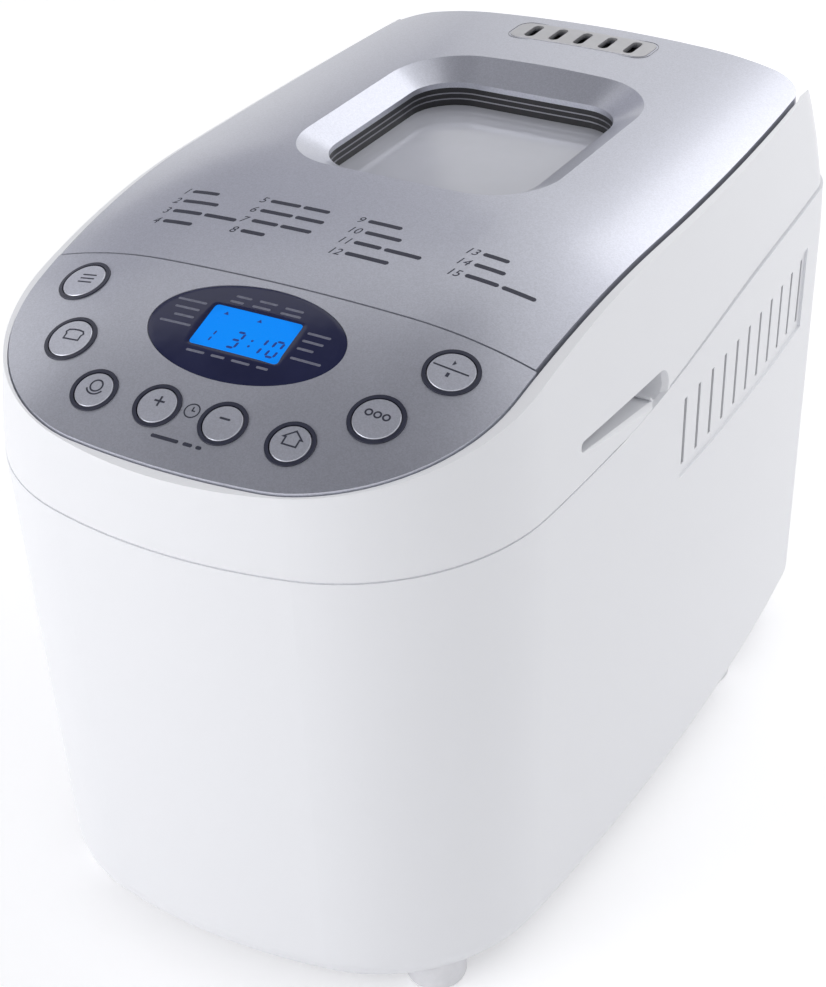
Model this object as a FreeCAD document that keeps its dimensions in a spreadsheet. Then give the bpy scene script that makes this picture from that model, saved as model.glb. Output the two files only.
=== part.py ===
import FreeCAD, Part
import math
import os
import re
import Sketcher
from FreeCAD import Placement, Rotation, Vector

os.makedirs("parts", exist_ok=True)
DOC = FreeCAD.newDocument("BreadMachine")

# Driving sizes in millimetres and degrees. X is right, -Y is the front, Z is up from the worktop.
SIZES = {
    # outside of the housing
    "body_width": 240,
    "body_depth": 384,
    "wall": 2.5,
    "front_radius": 224,
    "side_radius": 1650,
    "corner_radius": 83,
    "rear_radius": 1500,
    "rear_corner": 28.5,
    "parting_front": 211,
    "parting_grip": 216.5,
    "parting_slots": 231,
    "parting_rear": 233,
    "parting_groove": 0.8,
    "base_side_inset": 6,
    "base_front_inset": 10.4,
    "base_rear_inset": 3,
    "base_front_radius": 244.4,
    "base_side_radius": 1366,
    "base_corner_radius": 75,
    "base_rear_corner": 19,
    "base_round": 13.5,
    "waist_level": 206,
    "swell_level": 235,
    "swell_side_inset": 1.2,
    "swell_front_inset": 1.6,
    "swell_rear_inset": 1.5,
    "shoulder_level": 265,
    "shoulder_side_inset": 4.9,
    "shoulder_front_inset": 6,
    "shoulder_rear_inset": 5.6,
    "crest_level": 300,
    "crest_side_inset": 12.5,
    "crest_front_inset": 14,
    "crest_rear_inset": 19,
    "crest_rear_corner": 19,
    # crowned silver top: control panel and lid
    "top_level": 290.3,
    "top_fall_radius": 369,
    "top_fall_start": -8,
    "crown_radius": 1100,
    "crown_half": 55,
    "crown_edge_radius": 207,
    "top_side_inset": 10.15,
    "top_front_inset": 5.8,
    "top_rear_inset": 24.5,
    "top_front_radius": 370,
    "top_side_radius": 1900,
    "top_corner_radius": 73.8,
    "top_rear_corner": 20,
    "rim_gap": 0.6,
    "rim_drop": 0.8,
    "seam_back": 91.5,
    "seam_gap": 0.8,
    "seam_wall": 3,
    "panel_thickness": 2.5,
    "panel_ledge": 4,
    "deck_level": 256,
    # side grips and vents
    "grip_tip_place": -82,
    "grip_tip_level": 229.5,
    "grip_tip_radius": 2.3,
    "grip_bulb_place": -20,
    "grip_bulb_level": 224.6,
    "grip_bulb_radius": 5.5,
    "grip_flare": 3.2,
    "grip_top": 239,
    "grip_depth": 14,
    "grip_lip_thickness": 5,
    "slot_count": 11,
    "slot_first": 6.2,
    "slot_pitch": 13.75,
    "slot_width": 2.6,
    "slot_low": 175.5,
    "slot_high": 206.5,
    "slot_margin": 4.5,
    "slot_recess": 1.2,
    "rear_slot_count": 8,
    "rear_slot_pitch": 11,
    "rear_slot_low": 90,
    "rear_slot_high": 130,
    # feet and base
    "foot_height": 10.8,
    "foot_radius": 12.5,
    "foot_from_side": 40,
    "foot_rear_from_side": 29,
    "foot_edge_round": 3,
    "foot_back": 52,
    "foot_from_rear": 92,
    "foot_pin_radius": 3,
    "base_flange": 6,
    "base_opening_inset": 42,
    "base_thickness": 2.5,
    "base_slot_count": 7,
    "screw_radius": 2,
    "screw_head_radius": 3.6,
    # buttons
    "large_button": 8.9,
    "small_button": 7.7,
    "ring_width": 1.5,
    "ring_gap": 0.4,
    "ring_seat_gap": 0.1,
    "button_proud": 0.4,
    "ring_proud": 0.6,
    "button_flange": 2.2,
    "button_flange_thickness": 1.4,
    "button_flange_depth": 3.0,
    "button_stem": 2.6,
    "button_travel": 0.8,
    "switch_gap": 0.7,
    "switch_side": 6,
    "switch_height": 3.5,
    "side_button_x": 81.75,
    "side_button_back": 74.6,
    "corner_button_x": 67.5,
    "corner_button_back": 45.8,
    "front_button_x": 43.1,
    "front_button_back": 26.9,
    "middle_button_x": 14.4,
    "middle_button_back": 26.9,
    # display
    "display_half_width": 41.8,
    "display_half_depth": 22.7,
    "display_back": 65,
    "lens_gap": 0.15,
    "lcd_width": 62,
    "lcd_depth": 32,
    "lcd_thickness": 7,
    "board_width": 188,
    "board_depth": 72,
    "board_thickness": 1.6,
    "board_below": 15,
    "board_behind": 20,
    "board_post_radius": 3.2,
    # lid
    "lid_inset": 0.8,
    "lid_wall": 2.2,
    "liner_bottom": 259.6,
    "liner_thickness": 2.4,
    "window_half_width": 59.8,
    "window_from_seam": 82.7,
    "window_from_rear": 82.4,
    "window_corner": 30,
    "bevel_width": 11.7,
    "bevel_depth": 6.2,
    "frame_depth": 8.5,
    "frame_wall": 2,
    "pane_overlap": 4,
    "outer_pane": 3,
    "inner_pane": 2.4,
    "vent_width": 68,
    "vent_depth": 18,
    "vent_corner": 5,
    "vent_from_rear": 18.5,
    "vent_thickness": 1.4,
    "vent_slot_count": 5,
    "vent_slot_pitch": 12.4,
    "vent_slot_width": 4.8,
    "vent_slot_length": 14,
    "gasket_thickness": 2.2,
    "gasket_width": 4,
    # hinge
    "hinge_from_rear": 6.5,
    "hinge_level": 263,
    "hinge_centre": 75,
    "hinge_lug_width": 17,
    "hinge_ear_width": 6,
    "hinge_radius": 6,
    "hinge_pin_radius": 2.5,
    "running_gap": 0.05,
    "hinge_side_gap": 0.4,
    "hinge_clearance": 9,
    "trough_level": 251,
    "rear_wall_top": 256,
    # oven chamber
    "chamber_half_width": 93,
    "chamber_from_front": 140,
    "chamber_from_rear": 48,
    "chamber_floor": 64,
    "chamber_sheet": 1,
    "chamber_corner": 30,
    "collar_flange": 5,
    "collar_thickness": 1.2,
    "collar_depth": 11,
    "element_radius": 3.25,
    "element_level": 84,
    "element_inset": 14,
    "element_corner": 26,
    "element_leg_half": 15,
    "element_leg_bend": 8,
    "element_leg_out": 10,
    "clip_width": 8,
    "clip_height": 12,
    "sensor_radius": 3,
    "sensor_flange_radius": 6.6,
    "sensor_flange_thickness": 2,
    "sensor_root": 6,
    "sensor_level": 150,
    "sensor_reach": 18,
    # pan
    "pan_side_gap": 23,
    "pan_end_gap": 22,
    "pan_corner": 26,
    "pan_draft": 5,
    "pan_wall": 1.2,
    "pan_bottom": 84,
    "pan_top": 236,
    "pan_bead": 2.4,
    "pan_base_radius": 45,
    "pan_base_wall": 3,
    "pan_tab": 4,
    "socket_wall": 3,
    "socket_gap": 0.6,
    "socket_height": 7,
    "handle_wire": 2.2,
    "handle_lug_side": 10,
    "handle_lug_height": 14,
    "handle_pivot_below": 8,
    "handle_gap": 0.5,
    # drive
    "shaft_radius": 4,
    "bearing_radius": 9,
    "paddle_hub_radius": 9,
    "paddle_hub_height": 24,
    "paddle_reach": 44,
    "paddle_height": 30,
    "paddle_thickness": 5,
    "dog_radius": 15,
    "dog_height": 4,
    "dog_gap": 0.8,
    "drive_shaft_radius": 5,
    "drive_bearing_radius": 14,
    "pulley_radius": 60,
    "pulley_low": 28,
    "pulley_height": 12,
    "pulley_flange": 2.6,
    "pulley_flange_thickness": 1.4,
    "pulley_hub_radius": 12,
    "motor_pulley_radius": 8,
    "belt_gap": 0.3,
    "belt_thickness": 3,
    "belt_side_gap": 0.6,
    "motor_offset": 60,
    "motor_radius": 36,
    "motor_height": 60,
    "motor_shaft_below": 2,
    "motor_shaft_above": 12,
    "fan_gap": 4,
    "fan_hub_height": 7,
    "fan_blades": 8,
    "fan_blade_thickness": 1.2,
    "fan_blade_width": 9,
    "fan_blade_lean": 50,
    "fan_tip_gap": 8,
    "motor_flange": 8,
    "motor_flange_thickness": 3,
    "chassis_thickness": 3,
    "chassis_half_width": 70,
    "post_radius": 5,
    "power_board_height": 55,
    "power_board_length": 76,
    "power_board_place": 66,
    # cord gland
    "gland_place": 70,
    "gland_level": 45,
    "gland_bore": 4,
    "gland_radius": 7,
    "gland_flange": 10,
    "gland_flange_thickness": 2,
    "gland_length": 16,
}

# Sizes that follow from the driving ones
DERIVED = {
    "seam_offset": "(-body_depth / 2 + seam_back)",
    "foot_side": "(body_width / 2 - foot_from_side)",
    "foot_rear_side": "(body_width / 2 - foot_rear_from_side)",
    "foot_front": "(-body_depth / 2 + foot_back)",
    "foot_rear": "(body_depth / 2 - foot_from_rear)",
    "side_button_y": "(-body_depth / 2 + side_button_back)",
    "corner_button_y": "(-body_depth / 2 + corner_button_back)",
    "front_button_y": "(-body_depth / 2 + front_button_back)",
    "middle_button_y": "(-body_depth / 2 + middle_button_back)",
    "display_centre": "(-body_depth / 2 + display_back)",
    "window_front": "(seam_offset + window_from_seam)",
    "window_rear": "(body_depth / 2 - window_from_rear)",
    "chamber_front": "(-body_depth / 2 + chamber_from_front)",
    "chamber_rear": "(body_depth / 2 - chamber_from_rear)",
    "pan_half_width": "(chamber_half_width - pan_side_gap)",
    "pan_half_depth": "((chamber_rear - chamber_front) / 2 - pan_end_gap)",
}

SHEET = DOC.addObject("Spreadsheet::Sheet", "Sizes")
for row, (alias, value) in enumerate(SIZES.items(), start=1):
    SHEET.set("A%d" % row, alias)
    SHEET.set("B%d" % row, str(value))
    SHEET.setAlias("B%d" % row, alias)
DOC.recompute()

PIECES = []
UP = Vector(0, 0, 1)


WORD = re.compile(r"[a-z][a-z0-9_]+")


def written_out(expression):
    """The expression with every derived name replaced by what it follows from."""
    while any(word in DERIVED for word in WORD.findall(expression)):
        expression = WORD.sub(lambda word: DERIVED.get(word.group(), word.group()), expression)
    return expression


def size(expression):
    """Value of an expression in the sheet's names."""
    return float(SHEET.evalExpression(written_out(expression)))


def bound(expression):
    """The same expression as another object writes it."""
    return WORD.sub(lambda word: "Sizes." + word.group() if word.group() in SIZES else word.group(),
                    written_out(expression))


def piece(made, label):
    """Name an object as a sub-part to export."""
    made.Label = label
    PIECES.append(made)
    return made


def formed(label, shape, place=None):
    """A sub-part whose moulded shape comes from Part's own functions."""
    made = DOC.addObject("Part::Feature", label)
    made.Shape = shape
    made.Placement = place or Placement()
    return piece(made, label)


# ---------------------------------------------------------------- outlines and surfaces

def base_outline():
    return {
        "half": size("body_width / 2 - base_side_inset"),
        "front": size("-body_depth / 2 + base_front_inset"),
        "rear": size("body_depth / 2 - base_rear_inset"),
        "front_radius": size("base_front_radius"),
        "side_radius": size("base_side_radius"),
        "corner": size("base_corner_radius"),
        "rear_radius": size("rear_radius"),
        "rear_corner": size("base_rear_corner"),
    }


def waist_outline():
    return {
        "half": size("body_width / 2"),
        "front": size("-body_depth / 2"),
        "rear": size("body_depth / 2"),
        "front_radius": size("front_radius"),
        "side_radius": size("side_radius"),
        "corner": size("corner_radius"),
        "rear_radius": size("rear_radius"),
        "rear_corner": size("rear_corner"),
    }


def upper_outline(name):
    """Waist outline drawn in to the swell, shoulder or crest."""
    shape = waist_outline()
    shape["half"] -= size(name + "_side_inset")
    shape["front"] += size(name + "_front_inset")
    shape["rear"] -= size(name + "_rear_inset")
    if name == "crest":
        shape["rear_corner"] = size("crest_rear_corner")
    return shape


def top_outline():
    """Edge of the silver top, shared by the control panel, the lid and their recess."""
    return {
        "half": size("body_width / 2 - top_side_inset"),
        "front": size("-body_depth / 2 + top_front_inset"),
        "rear": size("body_depth / 2 - top_rear_inset"),
        "front_radius": size("top_front_radius"),
        "side_radius": size("top_side_radius"),
        "corner": size("top_corner_radius"),
        "rear_radius": size("rear_radius"),
        "rear_corner": size("top_rear_corner"),
    }


def corner_centre(first, first_reach, second, second_reach, towards):
    """Where circles about two points cross, on the right and at the front (-1) or rear (+1)."""
    gap = second - first
    along = (gap.Length ** 2 + first_reach ** 2 - second_reach ** 2) / (2 * gap.Length)
    across = math.sqrt(first_reach ** 2 - along ** 2)
    unit = gap / gap.Length
    foot = first + unit * along
    sides = [foot + Vector(-unit.y, unit.x, 0) * across, foot - Vector(-unit.y, unit.x, 0) * across]
    return max(sides, key=lambda point: point.y * towards)


def reach(centre, radius, through):
    return centre + (through - centre).normalize() * radius


def outline(shape, level, inset=0.0):
    """Closed D-shaped wire of eight tangent arcs, drawn in by the inset."""
    front_radius = shape["front_radius"] - inset
    side_radius = shape["side_radius"] - inset
    rear_radius = shape["rear_radius"] - inset
    corner = shape["corner"] - inset
    rear_corner = max(shape["rear_corner"] - inset, 1.0)
    front_centre = Vector(0, shape["front"] + shape["front_radius"], 0)
    rear_centre = Vector(0, shape["rear"] - shape["rear_radius"], 0)
    side_centre = Vector(shape["half"] - shape["side_radius"], 0, 0)
    near = corner_centre(front_centre, front_radius - corner, side_centre, side_radius - corner, -1)
    far = corner_centre(rear_centre, rear_radius - rear_corner, side_centre, side_radius - rear_corner, 1)
    joints = [
        reach(front_centre, front_radius, near),
        reach(side_centre, side_radius, near),
        reach(side_centre, side_radius, far),
        reach(rear_centre, rear_radius, far),
    ]
    middles = [
        reach(near, corner, (joints[0] + joints[1]) / 2),
        side_centre + Vector(side_radius, 0, 0),
        reach(far, rear_corner, (joints[2] + joints[3]) / 2),
    ]
    lift = Vector(0, 0, level)
    right = [(joints[i] + lift, middles[i] + lift, joints[i + 1] + lift) for i in range(3)]
    left = [tuple(Vector(-p.x, p.y, p.z) for p in reversed(arc)) for arc in reversed(right)]
    rear = (right[2][2], rear_centre + Vector(0, rear_radius, level), left[0][0])
    front = (left[2][2], front_centre + Vector(0, -front_radius, level), right[0][0])
    arcs = right + [rear] + left + [front]
    return Part.Wire([Part.Arc(*arc).toShape() for arc in arcs])


def prism(shape, low, high, inset=0.0):
    return Part.Face(outline(shape, low, inset)).extrude(Vector(0, 0, high - low))


def slab(low, high, front=-400.0, rear=400.0, half=400.0):
    """A plain box that trims a shape."""
    return Part.makeBox(2 * half, rear - front, high - low, Vector(-half, front, low))


def top_height(x, y):
    """Height of the crowned silver top."""
    fall = max(size("top_fall_start") - y, 0.0)
    radius = size("top_fall_radius")
    height = size("top_level") - radius + math.sqrt(radius ** 2 - fall ** 2)
    wide, half, edge = size("crown_radius"), size("crown_half"), size("crown_edge_radius")
    across = abs(x)
    if across <= half:
        return height - wide + math.sqrt(wide ** 2 - across ** 2)
    angle = math.asin(half / wide)
    centre = Vector((wide - edge) * math.sin(angle), (wide - edge) * math.cos(angle) - wide, 0)
    return height + centre.y + math.sqrt(edge ** 2 - (across - centre.x) ** 2)


def top_normal(x, y):
    step = 0.01
    slope_x = (top_height(x + step, y) - top_height(x - step, y)) / (2 * step)
    slope_y = (top_height(x, y + step) - top_height(x, y - step)) / (2 * step)
    return Vector(-slope_x, -slope_y, 1).normalize()


def below_top(drop=0.0):
    """Everything under the crowned top, lowered by the drop: a crown swept along the side profile."""
    reach_front, reach_rear, reach_side, depth = -225.0, 290.0, 150.0, 330.0
    radius, start = size("top_fall_radius"), size("top_fall_start")
    level = size("top_level") - drop
    centre = Vector(0, start, level - radius)

    def on_fall(y):
        return Vector(0, y, centre.z + math.sqrt(radius ** 2 - (y - start) ** 2))

    fall = Part.Arc(on_fall(reach_front), on_fall((reach_front + start) / 2), Vector(0, start, level))
    spine = Part.Wire([fall.toShape(), Part.makeLine(Vector(0, start, level), Vector(0, reach_rear, level))])
    front = on_fall(reach_front)
    edge_drop = top_height(reach_side, 0) - top_height(0, 0)
    join_drop = top_height(size("crown_half"), 0) - top_height(0, 0)
    mid_x = (size("crown_half") + reach_side) / 2
    mid_drop = top_height(mid_x, 0) - top_height(0, 0)

    def across(x, fallen):
        return front + Vector(x, 0, fallen)

    half = size("crown_half")
    edges = [
        Part.Arc(across(-reach_side, edge_drop), across(-mid_x, mid_drop), across(-half, join_drop)).toShape(),
        Part.Arc(across(-half, join_drop), across(0, 0), across(half, join_drop)).toShape(),
        Part.Arc(across(half, join_drop), across(mid_x, mid_drop), across(reach_side, edge_drop)).toShape(),
        Part.makeLine(across(reach_side, edge_drop), across(reach_side, -depth)),
        Part.makeLine(across(reach_side, -depth), across(-reach_side, -depth)),
        Part.makeLine(across(-reach_side, -depth), across(-reach_side, edge_drop)),
    ]
    sweep = Part.BRepOffsetAPI.MakePipeShell(spine)
    sweep.setTrihedronMode(Vector(0, 0, 0), UP)
    sweep.add(Part.Wire(edges))
    sweep.build()
    sweep.makeSolid()
    return sweep.shape()


def below_parting(rise=0.0):
    """Everything under the wavy line where the two housings meet, which rises behind the grips."""
    front, rear, side = size("-body_depth / 2"), size("body_depth / 2"), size("body_width")
    grip = size("(grip_tip_place + grip_bulb_place) / 2")
    slots = size("slot_first + slot_pitch * (slot_count - 1) / 2")
    line = Part.BSplineCurve()
    levels = ((front, "parting_front"), (grip, "parting_grip"), (slots, "parting_slots"), (rear, "parting_rear"))
    points = [Vector(-side, y, size(name) + rise) for y, name in levels]
    slopes = [(points[1] - points[0]) / 4, (points[2] - points[0]) / 2, (points[3] - points[1]) / 3,
              (points[3] - points[2]) / 3]
    line.interpolate(Points=points, Tangents=slopes, TangentFlags=[True] * 4)
    first, last = line.StartPoint, line.EndPoint
    past, floor = size("body_depth"), -50.0
    points = [last, Vector(-side, last.y + past, last.z), Vector(-side, last.y + past, floor),
              Vector(-side, first.y - past, floor), Vector(-side, first.y - past, first.z), first]
    wire = Part.Wire([line.toShape()] + Part.makePolygon(points).Edges)
    return Part.Face(wire).extrude(Vector(2 * side, 0, 0))


def lower_solid(inset=0.0):
    """Tapered lower housing with its rounded base, drawn in by the inset."""
    floor = size("foot_height") + inset
    base = outline(base_outline(), floor, inset)
    waist = outline(waist_outline(), size("parting_front"), inset)
    above = outline(waist_outline(), size("deck_level"), inset)
    solid = Part.makeLoft([base, waist, above], True, True)
    edges = [edge for edge in solid.Edges if edge.BoundBox.ZMax < floor + 0.01]
    return solid.makeFillet(size("base_round") - inset, edges)


def upper_solid(inset=0.0):
    """Upper housing swelling out and rounding in to the rim, drawn in by the inset."""
    wires = [outline(waist_outline(), size("waist_level"), inset)]
    for name in ("swell", "shoulder", "crest"):
        wires.append(outline(upper_outline(name), size(name + "_level"), inset))
    return Part.makeLoft(wires, True, False)


def rounded_box(half_width, front, rear, low, high, corner):
    """Upright box with rounded corners."""
    box = Part.makeBox(2 * half_width, rear - front, high - low, Vector(-half_width, front, low))
    corner = min(corner, 0.49 * min(2 * half_width, rear - front))
    if corner < 0.05:
        return box
    upright = [edge for edge in box.Edges if abs(edge.tangentAt(edge.FirstParameter).z) > 0.99]
    return box.makeFillet(corner, upright)


def both_sides(shape):
    mirror = shape.mirror(Vector(0, 0, 0), Vector(1, 0, 0))
    return shape.fuse(mirror)


# ---------------------------------------------------------------- parametric bodies

def origin_plane(body, role):
    return next(part for part in body.Origin.OriginFeatures if part.Role == role)


def sketch_on(body, name, role, offset="0"):
    drawn = body.newObject("Sketcher::SketchObject", name)
    drawn.AttachmentSupport = [(origin_plane(body, role), "")]
    drawn.MapMode = "FlatFace"
    if offset != "0":
        drawn.setExpression("AttachmentOffset.Base.z", bound(offset))
    return drawn


def pin_down(drawn, geometry, end, x, y):
    """Tie one point of a sketch to two expressions."""
    for kind, axis, expression in (("DistanceX", -2, x), ("DistanceY", -1, y)):
        value = size(expression)
        if abs(value) < 1e-9:
            drawn.addConstraint(Sketcher.Constraint("PointOnObject", geometry, end, axis))
            continue
        index = drawn.addConstraint(Sketcher.Constraint(kind, -1, 1, geometry, end, value))
        drawn.setExpression("Constraints[%d]" % index, bound(expression))


def polygon(drawn, corners):
    """Closed outline with straight sides through points given as pairs of expressions."""
    points = [Vector(size(x), size(y), 0) for x, y in corners]
    count = len(points)
    for index in range(count):
        drawn.addGeometry(Part.LineSegment(points[index], points[(index + 1) % count]), False)
    for index in range(count):
        drawn.addConstraint(Sketcher.Constraint("Coincident", index, 2, (index + 1) % count, 1))
    for index, (x, y) in enumerate(corners):
        pin_down(drawn, index, 1, x, y)


def new_body(label):
    return piece(DOC.addObject("PartDesign::Body", label), label)


def turned(label, profile, x="0", y="0"):
    """A revolved body: the profile lists (radius, height) pairs of expressions."""
    body = new_body(label)
    drawn = sketch_on(body, "Profile", "XZ_Plane")
    polygon(drawn, profile)
    spin = body.newObject("PartDesign::Revolution", "Turned")
    spin.Profile = drawn
    spin.ReferenceAxis = (drawn, ["V_Axis"])
    spin.Angle = 360
    body.Tip = spin
    body.setExpression("Placement.Base.x", bound(x))
    body.setExpression("Placement.Base.y", bound(y))
    return body


# ---------------------------------------------------------------- housing

def hinge_line():
    return Vector(0, size("body_depth / 2 - top_rear_inset - hinge_from_rear"), size("hinge_level"))


def chamber_middle():
    return size("(chamber_front + chamber_rear) / 2")


def motor_line():
    return size("chamber_front - chamber_sheet - motor_offset")


def on_axis(y):
    return Placement(Vector(0, y, 0), Rotation())


def hull(first, small, second, large, normal):
    """Wire around two circles: two arcs joined by their outer tangents."""
    gap = second - first
    ahead = gap / gap.Length
    across = normal.cross(ahead)
    lean = math.asin((large - small) / gap.Length)
    one = across * math.cos(lean) - ahead * math.sin(lean)
    other = across * -math.cos(lean) - ahead * math.sin(lean)
    return Part.Wire([
        Part.Arc(first + other * small, first - ahead * small, first + one * small).toShape(),
        Part.makeLine(first + one * small, second + one * large),
        Part.Arc(second + one * large, second + ahead * large, second + other * large).toShape(),
        Part.makeLine(second + other * large, first + other * small),
    ])


def grip_ends(x):
    """Centres and radii of the grip mouth's pointed front end and its round rear end."""
    tip = Vector(x, size("grip_tip_place"), size("grip_tip_level"))
    bulb = Vector(x, size("grip_bulb_place"), size("grip_bulb_level"))
    return tip, size("grip_tip_radius"), bulb, size("grip_bulb_radius")


def grip_pocket():
    """Finger recess in the right side: a flared teardrop mouth with room behind its upper lip."""
    side, flare, right = size("body_width / 2"), size("grip_flare"), Vector(1, 0, 0)
    deep, lip = side - size("grip_depth"), side - size("grip_lip_thickness")
    tip, tip_radius, bulb, bulb_radius = grip_ends(deep)
    mouth = Part.Face(hull(tip, tip_radius, bulb, bulb_radius, right)).extrude(right * (side - flare - deep))
    rims = []
    for x, grow in ((side - flare, 0), (side + flare, flare)):
        shift = right * (x - deep)
        rims.append(hull(tip + shift, tip_radius + grow, bulb + shift, bulb_radius + grow, right))
    room = Part.makeBox(lip - deep, bulb.y - tip.y, size("grip_top") - tip.z, Vector(deep, tip.y, tip.z))
    return mouth.fuse(Part.makeLoft(rims, True, True)).fuse(room)


def grip_shell():
    """Walls around the finger recess."""
    wall, side = size("wall"), size("body_width / 2")
    tip, tip_radius, bulb, bulb_radius = grip_ends(side - size("grip_depth") - wall)
    low, high = bulb.z - bulb_radius - wall, size("grip_top") + wall
    front, rear = tip.y - tip_radius - wall, bulb.y + bulb_radius + wall
    return Part.makeBox(side + wall - tip.x, rear - front, high - low, Vector(tip.x, front, low))


def hinge_spans(side):
    """Outer ends along X of the lug and of the two ears beside it."""
    centre, lug = size("hinge_centre"), size("hinge_lug_width / 2")
    inner = lug + size("hinge_side_gap")
    outer = inner + size("hinge_ear_width")
    spans = [(-lug, lug), (-outer, -inner), (inner, outer)]
    return [(side * centre + low, side * centre + high) for low, high in spans]


def knuckle(span, foot_level, foot_front=None):
    """Rounded hinge block around the hinge line, standing on a foot."""
    line, radius = hinge_line(), size("hinge_radius")
    low, high = span
    round_end = Part.makeCylinder(radius, high - low, Vector(low, line.y, line.z), Vector(1, 0, 0))
    front = line.y - radius if foot_front is None else foot_front
    wide, corner = high - low, Vector(low, front, foot_level)
    foot = Part.makeBox(wide, line.y + radius - front, line.z - foot_level, corner)
    if foot_front is not None:
        foot = Part.makeBox(wide, line.y - front, line.z + radius - foot_level, corner)
        foot = foot.common(slab(foot_level, line.z + radius / 2))
    return round_end.fuse(foot)


def hinge_ends(side):
    """Outer ends along X of one whole hinge."""
    ends = [end for span in hinge_spans(side) for end in span]
    return min(ends), max(ends)


def hinge_bores(radius):
    """The two pin holes, or with the pin's radius the pins themselves."""
    line, pins = hinge_line(), []
    for side in (-1, 1):
        low, high = hinge_ends(side)
        pins.append(Part.makeCylinder(radius, high - low, Vector(low, line.y, line.z), Vector(1, 0, 0)))
    return Part.makeCompound(pins)


def upper_housing():
    top, seam, wall, deck = top_outline(), size("seam_offset"), size("wall"), size("deck_level")
    high = size("crest_level + 50")
    behind_panel = seam - size("seam_wall")
    outer = upper_solid()
    body = outer.common(below_top(size("rim_drop"))).cut(below_parting())
    groove = size("parting_groove")
    body = body.cut(below_parting(groove).cut(upper_solid(groove)))
    inner = upper_solid(wall)
    panel = size("panel_thickness")
    trough_front = hinge_line().y - size("hinge_clearance")
    trough = size("trough_level")
    half = size("body_width / 2 - top_side_inset") - trough_front ** 2 / size("2 * top_side_radius")
    rear_inside = size("body_depth / 2 - shoulder_rear_inset") - wall
    removed = [
        inner.common(slab(0, deck - 9 * wall)),
        inner.common(below_top(panel + wall)).common(slab(0, high, rear=behind_panel)),
        prism(top, 0, high, size("panel_ledge")).common(slab(0, high, rear=behind_panel)),
        prism(top, 0, high, -size("rim_gap")).cut(below_top(panel)).common(slab(0, high, rear=seam)),
        prism(top, deck, high, -size("rim_gap")).common(slab(0, high, front=seam)),
        inner.common(slab(0, deck - wall, front=seam, rear=trough_front - wall)),
        inner.common(slab(0, trough - wall, front=seam)),
        slab(size("rear_wall_top"), high, front=trough_front, half=half),
        slab(trough, high, front=trough_front, rear=rear_inside, half=half),
        chamber_block(size("chamber_sheet"), size("chamber_floor"), high),
    ]
    for shape in removed:
        body = body.cut(shape)
    walls = both_sides(grip_shell()).common(outer).cut(below_parting())
    body = body.fuse(walls).cut(both_sides(grip_pocket()))
    for side in (-1, 1):
        for span in hinge_spans(side)[1:]:
            body = body.fuse(knuckle(span, trough))
    body = body.cut(hinge_bores(size("hinge_pin_radius")))
    return formed("upper_housing", body.removeSplitter())


def chamber_block(grow, low, high):
    half, corner = size("chamber_half_width") + grow, size("chamber_corner") + grow
    return rounded_box(half, size("chamber_front") - grow, size("chamber_rear") + grow, low, high, corner)


def side_slots():
    """Recess and upright vent slots on the right side."""
    low, high, width = size("slot_low"), size("slot_high"), size("slot_width")
    first, pitch, count = size("slot_first"), size("slot_pitch"), int(size("slot_count"))
    margin, side = size("slot_margin"), size("body_width / 2")
    skin = lower_solid().cut(lower_solid(size("slot_recess")))
    last = first + pitch * (count - 1)
    frame = Part.makeBox(side, last - first + 2 * margin, high - low + 2 * margin,
                         Vector(side / 2, first - margin, low - margin))
    cuts = skin.common(frame)
    for index in range(count):
        place = Vector(side - 20, first + pitch * index - width / 2, low)
        cuts = cuts.fuse(Part.makeBox(40, width, high - low, place))
    return cuts


def rear_slots():
    low, high, width = size("rear_slot_low"), size("rear_slot_high"), size("slot_width")
    count, pitch = int(size("rear_slot_count")), size("rear_slot_pitch")
    rear = size("body_depth / 2")
    starts = [(index - (count - 1) / 2) * pitch - width / 2 for index in range(count)]
    return Part.makeCompound([Part.makeBox(width, 30, high - low, Vector(x, rear - 20, low)) for x in starts])


def gland_face():
    return size("body_depth / 2 - base_rear_inset - gland_flange_thickness")


def foot_places():
    return {"front_left": ("-foot_side", "foot_front"), "front_right": ("foot_side", "foot_front"),
            "rear_left": ("-foot_rear_side", "foot_rear"), "rear_right": ("foot_rear_side", "foot_rear")}


def screw_places():
    ring = size("base_opening_inset - base_flange / 2")
    side = size("body_width / 2 - base_side_inset") - ring - 1
    front = size("-body_depth / 2 + base_front_inset") + ring
    rear = size("body_depth / 2 - base_rear_inset") - ring
    span = size("body_depth / 10")
    return [(side, -span), (side, span), (-side, -span), (-side, span), (0, front), (0, rear)]


def lower_housing():
    wall, floor = size("wall"), size("foot_height")
    body = lower_solid().cut(lower_solid(wall)).common(below_parting())
    body = body.cut(prism(base_outline(), 0, floor + 2 * wall, size("base_opening_inset")))
    body = body.cut(both_sides(side_slots())).cut(rear_slots())
    place = Vector(size("gland_place"), 0, size("gland_level"))
    back = Vector(0, 1, 0)
    body = body.cut(Part.makeCylinder(size("gland_radius"), size("body_depth"), place, back))
    face = place + Vector(0, gland_face(), 0)
    body = body.cut(Part.makeCylinder(size("gland_flange"), wall * 4, face, back))
    for x, y in foot_places().values():
        hole = Vector(size(x), size(y), floor - wall)
        body = body.cut(Part.makeCylinder(size("foot_pin_radius"), 4 * wall, hole))
    for x, y in screw_places():
        body = body.cut(Part.makeCylinder(size("screw_radius"), 4 * wall, Vector(x, y, floor - wall)))
    return formed("lower_housing", body.removeSplitter())


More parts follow.
